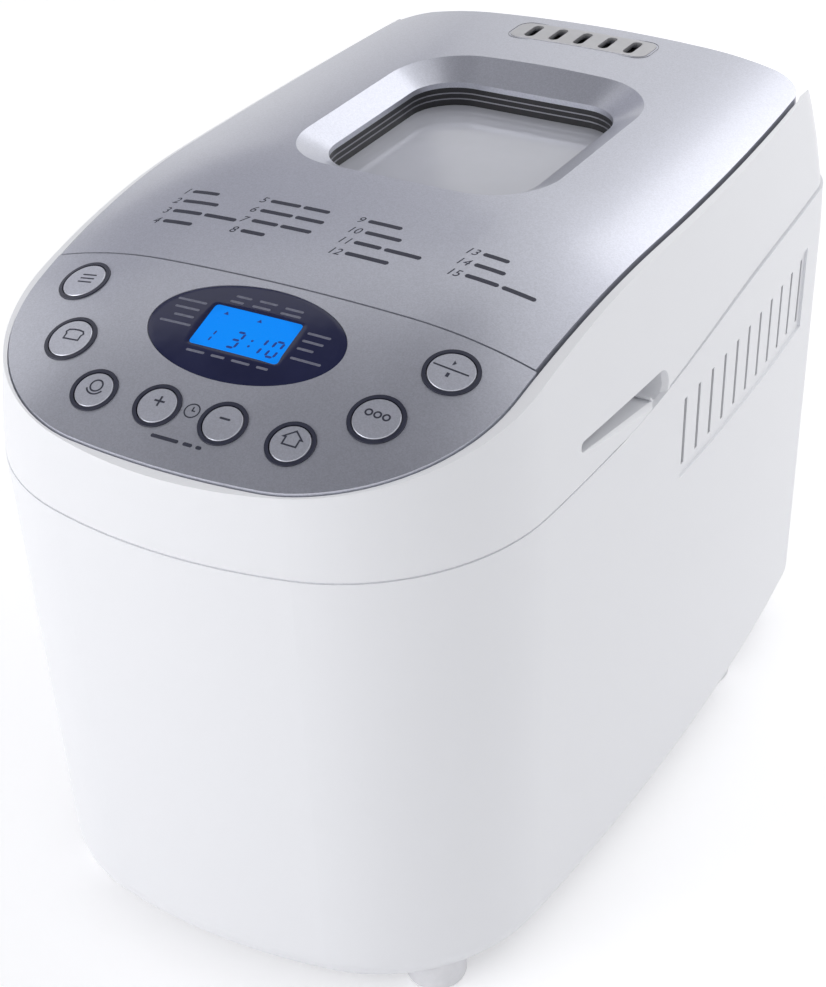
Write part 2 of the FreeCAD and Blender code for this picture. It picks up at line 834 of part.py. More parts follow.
def base_plate():
    floor, wall, inset = size("foot_height"), size("wall"), size("base_opening_inset")
    top = floor + wall + size("base_thickness")
    body = prism(base_outline(), floor, floor + wall, inset + size("lens_gap"))
    body = body.fuse(prism(base_outline(), floor + wall, top, inset - size("base_flange")))
    count, pitch = int(size("base_slot_count")), 12
    for index in range(count):
        x = (index - (count - 1) / 2) * pitch
        body = body.cut(rounded_box(2, -40, 20, floor - 1, top + 1, 1.9).translated(Vector(x, 0, 0)))
    for x, y in screw_places():
        body = body.cut(Part.makeCylinder(size("screw_radius"), 20, Vector(x, y, floor)))
    return formed("base_plate", body.removeSplitter())


def screw(x, y, face, length, radius, head_radius, head):
    """Screw driven upwards, its head under the face."""
    shank = Part.makeCylinder(radius, length, Vector(x, y, face))
    cap = Part.makeCylinder(head_radius, head, Vector(x, y, face - head))
    bottom = [edge for edge in cap.Edges if edge.BoundBox.ZMax < face - head / 2]
    return cap.makeChamfer(head / 3, bottom).fuse(shank)


def base_screws():
    floor = size("foot_height")
    length = size("wall + base_thickness")
    made = [screw(x, y, floor, length, size("screw_radius"), size("screw_head_radius"), 1.8)
            for x, y in screw_places()]
    return formed("base_screws", Part.makeCompound(made))


def feet():
    """Soft pads shaped to the curved underside, each with a pin into its hole."""
    floor, radius = size("foot_height"), size("foot_radius")
    for name, (x, y) in foot_places().items():
        pad = Part.makeCylinder(radius, floor + size("base_round"), Vector(size(x), size(y), 0))
        lowest = [edge for edge in pad.Edges if edge.BoundBox.ZMax < floor / 2]
        pad = pad.makeFillet(size("foot_edge_round"), lowest)
        pad = pad.cut(lower_solid())
        pin = Part.makeCylinder(size("foot_pin_radius"), floor + size("wall"), Vector(size(x), size(y), 0))
        formed("foot_" + name, pad.fuse(pin).removeSplitter())


# ---------------------------------------------------------------- control panel

def on_top(x, y):
    """Placement on the crowned top with Z along its normal."""
    return Placement(Vector(x, y, top_height(x, y)), Rotation(UP, top_normal(x, y)))


def rod(place, radius, low, high):
    """Cylinder along a placement's own Z."""
    made = Part.makeCylinder(radius, high - low, Vector(0, 0, low))
    made.Placement = place
    return made


def button_table():
    """Name, place and cap radius of the eight buttons."""
    rows = [("side", "large_button", "programme", "start"), ("corner", "large_button", "loaf", "crust"),
            ("front", "small_button", "dough", "recipe"), ("middle", "small_button", "plus", "minus")]
    table = []
    for row, radius, left, right in rows:
        x, y = size(row + "_button_x"), size(row + "_button_y")
        table += [(left + "_button", -x, y, size(radius)), (right + "_button", x, y, size(radius))]
    return table


def board_place():
    """Placement of the control board's upper face."""
    y = size("display_centre - board_behind")
    normal = top_normal(0, y)
    return Placement(Vector(0, y, top_height(0, y)) - normal * size("board_below"), Rotation(UP, normal))


def switch_point(x, y):
    """Distance down a button's axis to the top of its switch."""
    place, board = on_top(x, y), board_place()
    normal, across = place.Rotation.multVec(UP), board.Rotation.multVec(UP)
    clear = (place.Base - board.Base).dot(across) - size("switch_height")
    return clear / normal.dot(across)


def display_cut(grow=0.0):
    """Upright elliptical column through the display."""
    wide, deep = size("display_half_width") + grow, size("display_half_depth") + grow
    curve = Part.Ellipse(Vector(0, size("display_centre"), 0), wide, deep).toShape()
    return Part.Face(Part.Wire([curve])).extrude(Vector(0, 0, size("crest_level")))


def post_places():
    return [(-50, 30), (50, 30), (-28.8, -22), (28.8, -22)]


def control_panel():
    panel = size("panel_thickness")
    top = top_outline()
    body = prism(top, size("deck_level - 60"), size("crest_level")).common(below_top()).cut(below_top(panel))
    body = body.common(slab(0, 400, rear=size("seam_offset - seam_gap / 2")))
    hole = size("ring_gap + ring_width + ring_seat_gap")
    for _, x, y, radius in button_table():
        body = body.cut(rod(on_top(x, y), radius + hole, -4 * panel, panel))
    body = body.cut(display_cut(size("lens_gap")))
    under = below_top(panel * 0.6)
    for x, y in post_places():
        place = board_place().multiply(Placement(Vector(x, y, 0), Rotation()))
        body = body.fuse(rod(place, size("board_post_radius"), 0, 30).common(under))
    return formed("control_panel", body.removeSplitter())


def button_rings():
    gap, wide = size("ring_gap"), size("ring_width")
    shell = below_top(-size("ring_proud")).cut(below_top(size("panel_thickness")))
    made = []
    for _, x, y, radius in button_table():
        place = on_top(x, y)
        tube = rod(place, radius + gap + wide, -10, 5).cut(rod(place, radius + gap, -12, 6))
        made.append(tube.common(shell))
    return formed("button_rings", Part.makeCompound(made))


def buttons():
    proud, flange = size("button_proud"), size("button_flange")
    low, thick = size("button_flange_depth"), size("button_flange_thickness")
    for name, x, y, radius in button_table():
        place = on_top(x, y)
        end = switch_point(x, y) - size("button_travel + switch_gap")
        cap = Part.makeCylinder(radius, proud + low, Vector(0, 0, -low))
        rim = [edge for edge in cap.Edges if edge.BoundBox.ZMin > proud - 0.01]
        cap = cap.makeChamfer(proud * 0.6, rim)
        body = cap.fuse(Part.makeCylinder(radius + flange, thick, Vector(0, 0, -low - thick)))
        body = body.fuse(Part.makeCylinder(size("button_stem"), end - low, Vector(0, 0, -end)))
        formed(name, body.removeSplitter(), place)


def control_board():
    board = board_place()
    plate = Part.makeBox(size("board_width"), size("board_depth"), size("board_thickness"),
                         Vector(-size("board_width / 2"), -size("board_depth / 2"), -size("board_thickness")))
    plate.Placement = board
    inside = prism(top_outline(), 100, size("crest_level"), size("panel_ledge + wall"))
    return formed("control_board", plate.common(inside))


def switches():
    made, side, tall = [], size("switch_side"), size("switch_height")
    for _, x, y, _radius in button_table():
        place = on_top(x, y)
        point = place.multVec(Vector(0, 0, -switch_point(x, y)))
        local = board_place().inverse().multVec(point)
        box = Part.makeBox(side, side, tall, Vector(local.x - side / 2, local.y - side / 2, 0))
        box.Placement = board_place()
        made.append(box)
    return formed("switches", Part.makeCompound(made))


def display_lens():
    panel = size("panel_thickness")
    return formed("display_lens", display_cut().common(below_top()).cut(below_top(panel)))


def lcd_module():
    place = on_top(0, size("display_centre"))
    deep = size("panel_thickness + lcd_thickness")
    box = Part.makeBox(size("lcd_width"), size("lcd_depth"), deep,
                       Vector(-size("lcd_width / 2"), -size("lcd_depth / 2"), -deep))
    box.Placement = place
    return formed("lcd_module", box.common(below_top(size("panel_thickness"))))


# ---------------------------------------------------------------- lid

def window_rim():
    """Level, half width, front and rear of the window's edge in the lid."""
    half = size("window_half_width")
    return top_height(half, size("window_rear")), half, size("window_front"), size("window_rear")


def bevel(drop=0.0):
    """Sloping well around the window, running up past the lid's surface."""
    level, half, front, rear = window_rim()
    width, depth, corner, over = size("bevel_width"), size("bevel_depth"), size("window_corner"), 4.0
    wires = []
    for grow, height in ((-width, level - depth), (over * width / depth, level + over)):
        block_shape = rounded_box(half + grow, front - grow, rear + grow, height - drop, height - drop + 1,
                                  corner + grow * 0.8)
        bottom = min(block_shape.Faces, key=lambda face: face.CenterOfMass.z)
        wires.append(bottom.OuterWire)
    return Part.makeLoft(wires, True, True)


def window_hole(grow, low, high):
    """Rounded column through the window, grown from the foot of the bevel."""
    _level, half, front, rear = window_rim()
    width = size("bevel_width") - grow
    corner = size("window_corner") - size("bevel_width") * 0.8 + grow
    return rounded_box(half - width, front + width, rear - width, low, high, corner)


def bevel_foot():
    return window_rim()[0] - size("bevel_depth")


def vent_place():
    return size("body_depth / 2 - top_rear_inset - vent_from_rear")


def vent_block(grow, half, deep, corner):
    middle = vent_place()
    return rounded_box(half + grow, middle - deep - grow, middle + deep + grow, 100, 400, corner + grow)


def vent_slots(grow):
    count, pitch = int(size("vent_slot_count")), size("vent_slot_pitch")
    wide, long = size("vent_slot_width / 2") + grow, size("vent_slot_length / 2") + grow
    one = vent_block(0, wide, long, wide - 0.1)
    return [one.translated(Vector((index - (count - 1) / 2) * pitch, 0, 0)) for index in range(count)]


def knuckle_gaps(high):
    """Openings that the housing's hinge ears pass through, cut in the lid."""
    gap, line = 0.6, hinge_line()
    cuts = []
    for side in (-1, 1):
        low, far = hinge_ends(side)
        front = line.y - size("hinge_radius") - 2
        cuts.append(Part.makeBox(far - low + 2 * gap, 100, high - 200, Vector(low - gap, front, 200)))
    return cuts


def lid_screw_places():
    """Screw places as distances behind the seam or ahead of the lid's rear edge."""
    front = size("seam_offset") + 17
    rear = size("body_depth / 2 - top_rear_inset") - 11
    return [(-80, front), (-28, front), (28, front), (80, front), (-40, rear), (40, rear)]


def lid_cover():
    top, wall, inset = top_outline(), size("lid_wall"), size("lid_inset")
    skirt = size("liner_bottom + liner_thickness")
    front, high = size("seam_offset + seam_gap / 2"), size("crest_level + 20")
    outer = prism(top, skirt, high, inset).common(slab(0, high, front=front)).common(below_top())
    inner = prism(top, skirt - 1, high, inset + wall).common(slab(0, high, front=front + wall))
    body = outer.cut(inner.common(below_top(wall)))
    body = body.fuse(bevel(wall * 1.1).common(outer).common(below_top()))
    for x, y in lid_screw_places():
        boss = Part.makeCylinder(3.6, high - skirt, Vector(x, y, skirt)).common(below_top(wall / 2))
        body = body.fuse(boss)
    body = body.cut(bevel()).cut(window_hole(0, skirt, high))
    vent = vent_block(0.1, size("vent_width / 2"), size("vent_depth / 2"), size("vent_corner"))
    body = body.cut(vent.cut(below_top(size("vent_thickness") - 0.3)))
    for slot in vent_slots(0.4) + knuckle_gaps(size("hinge_level + hinge_radius + 3")):
        body = body.cut(slot)
    for x, y in lid_screw_places():
        body = body.cut(Part.makeCylinder(1.5, 8, Vector(x, y, skirt)))
    return formed("lid_cover", body.removeSplitter())


def vent_grille():
    plate = vent_block(0, size("vent_width / 2"), size("vent_depth / 2"), size("vent_corner"))
    plate = plate.common(below_top(-0.3)).cut(below_top(size("vent_thickness") - 0.3))
    for slot in vent_slots(0):
        plate = plate.cut(slot)
    return formed("vent_grille", plate)


def window_frame():
    """Black ring under the bevel that holds the outer pane."""
    high = bevel_foot() - size("lid_wall") * 1.1
    low = bevel_foot() - size("frame_depth + lid_wall")
    body = window_hole(size("frame_wall + pane_overlap"), low, high).cut(window_hole(0, low - 1, high + 1))
    return formed("window_frame", body)


def outer_pane_level():
    return bevel_foot() - size("frame_depth + lid_wall")


def window_outer():
    high = outer_pane_level()
    return formed("window_outer", window_hole(size("pane_overlap"), high - size("outer_pane"), high))


def window_inner():
    low = size("liner_bottom + liner_thickness")
    return formed("window_inner", window_hole(0, low, low + size("inner_pane")))


def lid_liner():
    low, thick, inset = size("liner_bottom"), size("liner_thickness"), size("lid_inset") + 0.4
    front = size("seam_offset + seam_gap / 2") + 0.4
    body = prism(top_outline(), low, low + thick, inset).common(slab(0, 400, front=front))
    body = body.cut(window_hole(-size("pane_overlap"), low - 1, low + thick + 1))
    for gap in knuckle_gaps(size("crest_level")):
        body = body.cut(gap)
    line = hinge_line()
    for side in (-1, 1):
        body = body.fuse(knuckle(hinge_spans(side)[0], low, line.y - size("hinge_radius") - 8))
    body = body.cut(hinge_bores(size("hinge_pin_radius + running_gap")))
    for x, y in lid_screw_places():
        body = body.cut(Part.makeCylinder(1.5, 8, Vector(x, y, low - 1)))
    return formed("lid_liner", body.removeSplitter())


def lid_screws():
    low = size("liner_bottom")
    made = [screw(x, y, low, size("liner_thickness") + 7, 1.5, 2.8, 1.4) for x, y in lid_screw_places()]
    return formed("lid_screws", Part.makeCompound(made))


def lid_gasket():
    high = size("liner_bottom")
    grow = size("collar_flange + chamber_sheet") - 0.5
    low = high - size("gasket_thickness")
    body = chamber_block(grow, low, high).cut(chamber_block(grow - size("gasket_width"), low - 1, high + 1))
    return formed("lid_gasket", body)


def hinge_pins():
    return formed("hinge_pins", hinge_bores(size("hinge_pin_radius")))


# ---------------------------------------------------------------- oven chamber

def element_path():
    """Open loop of the heating element, with two legs out through the chamber's front."""
    inset, level = size("element_inset"), size("element_level")
    side, front = size("chamber_half_width") - inset, size("chamber_front") + inset
    rear = size("chamber_rear") - inset
    leg, out = size("element_leg_half"), size("chamber_front - chamber_sheet - element_leg_out")
    corners = [(-leg, out), (-leg, front), (-side, front), (-side, rear),
               (side, rear), (side, front), (leg, front), (leg, out)]
    radii = [0, size("element_leg_bend")] + [size("element_corner")] * 4 + [size("element_leg_bend"), 0]
    return bent([Vector(x, y, level) for x, y in corners], radii)


def bent(points, radii):
    """Open wire through corner points, each rounded by its radius."""
    edges, last = [], points[0]
    for index in range(1, len(points) - 1):
        corner, radius = points[index], radii[index]
        back = (points[index - 1] - corner).normalize()
        ahead = (points[index + 1] - corner).normalize()
        half_angle = back.getAngle(ahead) / 2
        cut = radius / math.tan(half_angle)
        start, end = corner + back * cut, corner + ahead * cut
        bisector = (back + ahead).normalize()
        middle = corner + bisector * (radius / math.sin(half_angle) - radius)
        edges.append(Part.makeLine(last, start))
        edges.append(Part.Arc(start, middle, end).toShape())
        last = end
    edges.append(Part.makeLine(last, points[-1]))
    return Part.Wire(edges)


def tube_along(path, radius):
    start = path.OrderedEdges[0]
    direction = start.tangentAt(start.FirstParameter)
    ring = Part.Wire([Part.Circle(path.OrderedVertexes[0].Point, direction, radius).toShape()])
    return path.makePipeShell([ring], True, True)


def heating_element():
    return formed("heating_element", tube_along(element_path(), size("element_radius")))


def element_clips():
    """Blocks that hold the element off the chamber's walls."""
    inset, wide, tall = size("element_inset"), size("clip_width"), size("clip_height")
    level, middle = size("element_level") - tall / 2, chamber_middle()
    side, rear = size("chamber_half_width"), size("chamber_rear")
    blocks = [Part.makeBox(inset, wide, tall, Vector(side - inset, middle - wide / 2, level)),
              Part.makeBox(inset, wide, tall, Vector(-side, middle - wide / 2, level)),
              Part.makeBox(wide, inset, tall, Vector(-wide / 2, rear - inset, level))]
    tube = tube_along(element_path(), size("element_radius"))
    return formed("element_clips", Part.makeCompound([one.cut(tube) for one in blocks]))


def oven_chamber():
    sheet, floor, high = size("chamber_sheet"), size("chamber_floor"), size("deck_level")
    body = chamber_block(sheet, floor - sheet, high).cut(chamber_block(0, floor, high + 1))
    drive = Vector(0, chamber_middle(), floor - 10)
    body = body.cut(Part.makeCylinder(size("drive_bearing_radius"), 20, drive))
    back, front = Vector(0, 1, 0), size("chamber_front") - 20
    for x in (-size("element_leg_half"), size("element_leg_half")):
        leg = Vector(x, front, size("element_level"))
        body = body.cut(Part.makeCylinder(size("element_radius"), 30, leg, back))
    body = body.cut(Part.makeCylinder(size("sensor_radius"), 30, Vector(0, front, size("sensor_level")), back))
    return formed("oven_chamber", body)


def chamber_collar():
    deck, thick = size("deck_level"), size("collar_thickness")
    body = chamber_block(size("collar_flange"), deck, deck + thick)
    body = body.fuse(chamber_block(0, deck - size("collar_depth"), deck + thick))
    body = body.cut(chamber_block(-thick, 0, deck + 10))
    return formed("chamber_collar", body.removeSplitter())


def temperature_sensor():
    face, level = size("chamber_front"), size("sensor_level")
    back = Vector(0, 1, 0)
    root, flange_thickness = size("sensor_root"), size("sensor_flange_thickness")
    start = Vector(0, face - root, level)
    probe = Part.makeCylinder(size("sensor_radius"), size("sensor_reach") + root, start, back)
    flange_face = Vector(0, face - size("chamber_sheet") - flange_thickness, level)
    flange = Part.makeCylinder(size("sensor_flange_radius"), flange_thickness, flange_face, back)
    return formed("temperature_sensor", probe.fuse(flange).removeSplitter())


def pan_socket():
    """Ring on the chamber's floor that the pan's base drops into."""
    turned("pan_socket", [
        ("pan_base_radius + socket_gap", "chamber_floor"),
        ("pan_base_radius + socket_gap + socket_wall * 3", "chamber_floor"),
        ("pan_base_radius + socket_gap + socket_wall * 3", "chamber_floor + 1.2"),
        ("pan_base_radius + socket_gap + socket_wall", "chamber_floor + 1.2"),
        ("pan_base_radius + socket_gap + socket_wall", "chamber_floor + socket_height"),
        ("pan_base_radius + socket_gap", "chamber_floor + socket_height"),
    ], "0", "(chamber_front + chamber_rear) / 2")


# ---------------------------------------------------------------- bread pan

def pan_loft(inset, low, high):
    """Tapered pan body between two levels."""
    bottom, top, draft = size("pan_bottom"), size("pan_top"), size("pan_draft")
    middle = chamber_middle()
    wires = []
    for level in (low, high):
        drawn_in = inset + draft * (top - level) / (top - bottom)
        half, deep = size("pan_half_width") - drawn_in, size("pan_half_depth") - drawn_in
        corner = size("pan_corner") - inset
        box = rounded_box(half, middle - deep, middle + deep, level, level + 1, corner)
        wires.append(min(box.Faces, key=lambda face: face.CenterOfMass.z).OuterWire)
    return Part.makeLoft(wires, True, True)


def bread_pan():
    bottom, top, wall, bead = size("pan_bottom"), size("pan_top"), size("pan_wall"), size("pan_bead")
    middle = chamber_middle()
    body = pan_loft(0, bottom, top)
    half, deep = size("pan_half_width") + bead, size("pan_half_depth") + bead
    rim = rounded_box(half, middle - deep, middle + deep, top - bead, top, size("pan_corner") + bead)
    body = body.fuse(rim).cut(pan_loft(wall, bottom + wall, top + 1))
    body = body.cut(Part.makeCylinder(size("bearing_radius"), 10, Vector(0, middle, bottom - 5)))
    return formed("bread_pan", body.removeSplitter())


def pan_base():
    middle = "(chamber_front + chamber_rear) / 2"
    turned("pan_base", [
        ("pan_base_radius - pan_base_wall", "chamber_floor + 0.2"),
        ("pan_base_radius", "chamber_floor + 0.2"),
        ("pan_base_radius", "pan_bottom - 1.5"),
        ("pan_base_radius + pan_tab", "pan_bottom - 1.5"),
        ("pan_base_radius + pan_tab", "pan_bottom"),
        ("pan_base_radius - pan_base_wall", "pan_bottom"),
    ], "0", middle)


def pan_bearing():
    middle = "(chamber_front + chamber_rear) / 2"
    turned("pan_bearing", [
        ("shaft_radius + running_gap", "pan_bottom - 6"),
        ("bearing_radius", "pan_bottom - 6"),
        ("bearing_radius", "pan_bottom - 2"),
        ("bearing_radius * 1.8", "pan_bottom - 2"),
        ("bearing_radius * 1.8", "pan_bottom"),
        ("bearing_radius", "pan_bottom"),
        ("bearing_radius", "pan_bottom + 6"),
        ("shaft_radius + running_gap", "pan_bottom + 6"),
    ], "0", middle)


def handle_level():
    return size("pan_top - handle_pivot_below")


def pan_lugs():
    """Plates on the pan's sides with the handle's pivot holes."""
    wire, wide, tall = size("handle_wire"), size("handle_lug_side"), size("handle_lug_height")
    level, middle = handle_level(), chamber_middle()
    low = level - tall / 2
    high = min(low + tall, size("pan_top - pan_bead"))
    side = size("pan_half_width")
    lug = Part.makeBox(6, wide, high - low, Vector(side - 2, middle - wide / 2, low)).cut(
        pan_loft(0, size("pan_bottom"), size("pan_top")))
    bore = Part.makeCylinder(wire + size("running_gap"), 40, Vector(side - 20, middle, level), Vector(1, 0, 0))
    lug = lug.cut(bore)
    return formed("pan_lugs", Part.makeCompound([lug, lug.mirror(Vector(0, 0, 0), Vector(1, 0, 0))]))


def pan_handle():
    """Wire bail, folded forward around the pan's rim."""
    wire, level, middle = size("handle_wire"), handle_level(), chamber_middle()
    tip = size("pan_half_width") + 0.8
    out = size("pan_half_width + pan_bead + handle_gap + handle_wire") + 2
    front = middle - size("pan_half_depth + pan_bead + handle_gap") - wire - 1
    corners = [(-tip, middle), (-out, middle), (-out, front), (out, front), (out, middle), (tip, middle)]
    path = bent([Vector(x, y, level) for x, y in corners], [0, wire * 1.3, 16, 16, wire * 1.3, 0])
    return formed("pan_handle", tube_along(path, wire))


# ---------------------------------------------------------------- kneading drive

def dogs(radius, low, high, across):
    """Two driving blocks on a coupling disc."""
    along, wide = size("dog_radius") - 5, 6
    blocks = []
    for side in (-1, 1):
        near = side * 5 if side > 0 else -5 - along
        box = Part.makeBox(along, wide, high - low, Vector(near, -wide / 2, low))
        if across:
            box = box.rotated(Vector(0, 0, 0), UP, 90)
        blocks.append(box.common(Part.makeCylinder(radius, high - low, Vector(0, 0, low))))
    return blocks


def pan_shaft():
    """Shaft through the pan's bottom with its coupling disc and dogs."""
    disc_low = coupling_level() + size("dog_height + dog_gap")
    shaft, radius = size("shaft_radius"), size("dog_radius")
    body = Part.makeCylinder(shaft, size("pan_bottom") + 28 - disc_low, Vector(0, 0, disc_low))
    body = body.fuse(Part.makeCylinder(radius, 2.4, Vector(0, 0, disc_low)))
    for dog in dogs(radius, disc_low - size("dog_height"), disc_low, True):
        body = body.fuse(dog)
    return formed("pan_shaft", body.removeSplitter(), on_axis(chamber_middle()))


def coupling_level():
    """Top of the driving disc."""
    return size("chamber_floor") + 4.4


def drive_coupling():
    top, radius = coupling_level(), size("dog_radius")
    body = Part.makeCylinder(radius, 2, Vector(0, 0, top - 2))
    for dog in dogs(radius, top, top + size("dog_height"), False):
        body = body.fuse(dog)
    body = body.cut(Part.makeCylinder(size("drive_shaft_radius"), 20, Vector(0, 0, top - 10)))
    return formed("drive_coupling", body.removeSplitter(), on_axis(chamber_middle()))


def drive_shaft():
    low, top = size("pulley_low") - 3, coupling_level()
    middle = Vector(0, chamber_middle(), low)
    return formed("drive_shaft", Part.makeCylinder(size("drive_shaft_radius"), top - low, middle))


def shaft_bearing():
    middle = "(chamber_front + chamber_rear) / 2"
    bottom = "chamber_floor - chamber_sheet - chassis_thickness"
    turned("shaft_bearing", [
        ("drive_shaft_radius + running_gap", bottom + " - 10"),
        ("drive_bearing_radius", bottom + " - 10"),
        ("drive_bearing_radius", bottom + " - 3"),
        ("drive_bearing_radius * 1.6", bottom + " - 3"),
        ("drive_bearing_radius * 1.6", bottom),
        ("drive_bearing_radius", bottom),
        ("drive_bearing_radius", "chamber_floor + 2"),
        ("drive_shaft_radius + running_gap", "chamber_floor + 2"),
    ], "0", middle)


def drive_pulley():
    top = "pulley_low + pulley_height"
    flange = "pulley_flange_thickness"
    turned("drive_pulley", [
        ("drive_shaft_radius", "pulley_low"),
        ("pulley_radius + pulley_flange", "pulley_low"),
        ("pulley_radius + pulley_flange", "pulley_low + " + flange),
        ("pulley_radius", "pulley_low + " + flange),
        ("pulley_radius", top + " - " + flange),
        ("pulley_radius + pulley_flange", top + " - " + flange),
        ("pulley_radius + pulley_flange", top),
        ("pulley_radius - 6", top),
        ("pulley_radius - 6", "pulley_low + 4"),
        ("pulley_hub_radius + 4", "pulley_low + 4"),
        ("pulley_hub_radius", top),
        ("pulley_hub_radius", "chamber_floor - chamber_sheet - chassis_thickness - 10.4"),
        ("drive_shaft_radius", "chamber_floor - chamber_sheet - chassis_thickness - 10.4"),
    ], "0", "(chamber_front + chamber_rear) / 2")


MOTOR_LINE = "chamber_front - chamber_sheet - motor_offset"


def motor_pulley():
    top = "pulley_low + pulley_height"
    flange = "pulley_flange_thickness"
    turned("motor_pulley", [
        ("shaft_radius", "pulley_low"),
        ("motor_pulley_radius + pulley_flange", "pulley_low"),
        ("motor_pulley_radius + pulley_flange", "pulley_low + " + flange),
        ("motor_pulley_radius", "pulley_low + " + flange),
        ("motor_pulley_radius", top + " - " + flange),
        ("motor_pulley_radius + pulley_flange", top + " - " + flange),
        ("motor_pulley_radius + pulley_flange", top),
        ("shaft_radius", top),
    ], "0", MOTOR_LINE)


def motor_shaft():
    low = size("pulley_low - motor_shaft_below")
    high = size("chamber_floor - chamber_sheet + motor_height + motor_shaft_above")
    foot = Vector(0, motor_line(), low)
    return formed("motor_shaft", Part.makeCylinder(size("shaft_radius"), high - low, foot))


def motor_housing():
    base = "chamber_floor - chamber_sheet"
    top = base + " + motor_height"
    turned("motor_housing", [
        ("shaft_radius + running_gap", base),
        ("motor_radius + motor_flange", base),
        ("motor_radius + motor_flange", base + " + motor_flange_thickness"),
        ("motor_radius", base + " + motor_flange_thickness"),
        ("motor_radius", top + " - 6"),
        ("motor_radius - 4", top),
        ("shaft_radius * 3", top),
        ("shaft_radius * 3", top + " + 2"),
        ("shaft_radius + running_gap", top + " + 2"),
    ], "0", MOTOR_LINE)


def motor_fan():
    """Cooling fan on the motor's upper shaft end."""
    low = size("chamber_floor - chamber_sheet + motor_height + fan_gap")
    tall, thick, wide = size("fan_hub_height"), size("fan_blade_thickness"), size("fan_blade_width")
    body = Part.makeCylinder(size("shaft_radius * 2"), tall, Vector(0, 0, low))
    blades, reach_out = int(size("fan_blades")), size("motor_radius - fan_tip_gap")
    for index in range(blades):
        blade = Part.makeBox(reach_out, thick, wide, Vector(0, -thick / 2, -wide / 2))
        blade = blade.rotated(Vector(0, 0, 0), Vector(1, 0, 0), size("fan_blade_lean"))
        blade = blade.translated(Vector(0, 0, low + tall / 2))
        blade = blade.rotated(Vector(0, 0, 0), UP, index * 360 / blades)
        body = body.fuse(blade)
    body = body.cut(Part.makeCylinder(size("shaft_radius"), 40, Vector(0, 0, low - 10)))
    return formed("motor_fan", body.removeSplitter(), on_axis(motor_line()))


def belt_loop(grow, low, high):
    """Column around both pulleys."""
    small, large = size("motor_pulley_radius") + grow, size("pulley_radius") + grow
    motor, drive = Vector(0, motor_line(), low), Vector(0, chamber_middle(), low)
    return Part.Face(hull(motor, small, drive, large, UP)).extrude(Vector(0, 0, high - low))


def drive_belt():
    margin = size("pulley_flange_thickness + belt_side_gap")
    low, high = size("pulley_low") + margin, size("pulley_low + pulley_height") - margin
    gap = size("belt_gap")
    body = belt_loop(gap + size("belt_thickness"), low, high).cut(belt_loop(gap, low - 1, high + 1))
    return formed("drive_belt", body)


def chassis_ends():
    """Front and rear of the drive plate."""
    return motor_line() - size("motor_radius") - 6, size("chamber_rear") - 30


def chassis():
    """Steel plate that ties the motor to the chamber and the drive bearing."""
    high = size("chamber_floor - chamber_sheet")
    low = high - size("chassis_thickness")
    front, rear = chassis_ends()
    body = rounded_box(size("chassis_half_width"), front, rear, low, high, 12)
    body = body.cut(Part.makeCylinder(size("drive_bearing_radius"), 20, Vector(0, chamber_middle(), low - 5)))
    body = body.cut(Part.makeCylinder(size("shaft_radius") * 2.5, 20, Vector(0, motor_line(), low - 5)))
    return formed("chassis", body)


def chassis_posts():
    low = size("foot_height + wall + base_thickness")
    high = size("chamber_floor - chamber_sheet - chassis_thickness")
    front, rear = chassis_ends()
    side, radius = size("chassis_half_width") - 9, size("post_radius")
    made = [Part.makeCylinder(radius, high - low, Vector(x, y, low))
            for x in (-side, side) for y in (front + 9, rear - 9)]
    return formed("chassis_posts", Part.makeCompound(made))


def power_board():
    """Upright board with its transformer, relay and capacitors, standing on the drive plate."""
    low, tall = size("chamber_floor - chamber_sheet"), size("power_board_height")
    long, thick = size("power_board_length"), size("board_thickness")
    face, middle = -size("power_board_place"), motor_line()
    board = Part.makeBox(thick, long, tall, Vector(face - thick, middle - long / 2, low))
    parts = [Part.makeBox(14, 26, 24, Vector(face, middle - long / 2 + 5, low + 24)),
             Part.makeBox(12, 16, 15, Vector(face, middle + 8, low + 30))]
    for y in (-18, 14, 27):
        parts.append(Part.makeCylinder(5, 13, Vector(face, middle + y, low + 12), Vector(1, 0, 0)))
    formed("power_board", board)
    return formed("power_parts", Part.makeCompound(parts))


def cord_gland():
    """Flanged inlet bush in the rear wall; it is turned upright, then laid along Y."""
    gland = turned("cord_gland", [
        ("gland_bore", "0"),
        ("gland_radius", "0"),
        ("gland_radius", "gland_length - gland_flange_thickness"),
        ("gland_flange", "gland_length - gland_flange_thickness"),
        ("gland_flange - 0.6", "gland_length"),
        ("gland_bore", "gland_length"),
    ], "gland_place", "body_depth / 2 - base_rear_inset - gland_length")
    gland.setExpression("Placement.Base.z", bound("gland_level"))
    gland.Placement.Rotation = Rotation(Vector(1, 0, 0), -90)


def kneading_paddle():
    """Hub with one swept blade."""
    low, radius = size("pan_bottom") + 6.4, size("paddle_hub_radius")
    reach_out, tall, thick = size("paddle_reach"), size("paddle_height"), size("paddle_thickness")
    hub = Part.makeCone(radius, radius * 0.78, size("paddle_hub_height"), Vector(0, 0, low))
    base = low + 0.4
    start, tip, top = Vector(0, 0, base), Vector(reach_out, 0, base), Vector(reach_out - 10, 0, base + tall)
    back, heel = Vector(reach_out * 0.45, 0, base + tall * 0.9), Vector(0, 0, base + tall * 0.55)
    crown = Part.Arc(top, back, heel).toShape()
    nose = Part.Arc(tip, Vector(reach_out - 2, 0, base + tall * 0.6), top).toShape()
    wire = Part.Wire([Part.makeLine(start, tip), nose, crown, Part.makeLine(crown.Vertexes[-1].Point, start)])
    blade = Part.Face(wire).extrude(Vector(0, thick, 0)).translated(Vector(0, -thick / 2, 0))
    bore = Part.makeCylinder(size("shaft_radius + running_gap"), 80, Vector(0, 0, low - 20))
    body = hub.fuse(blade).cut(bore)
    return formed("kneading_paddle", body.removeSplitter(), on_axis(chamber_middle()))


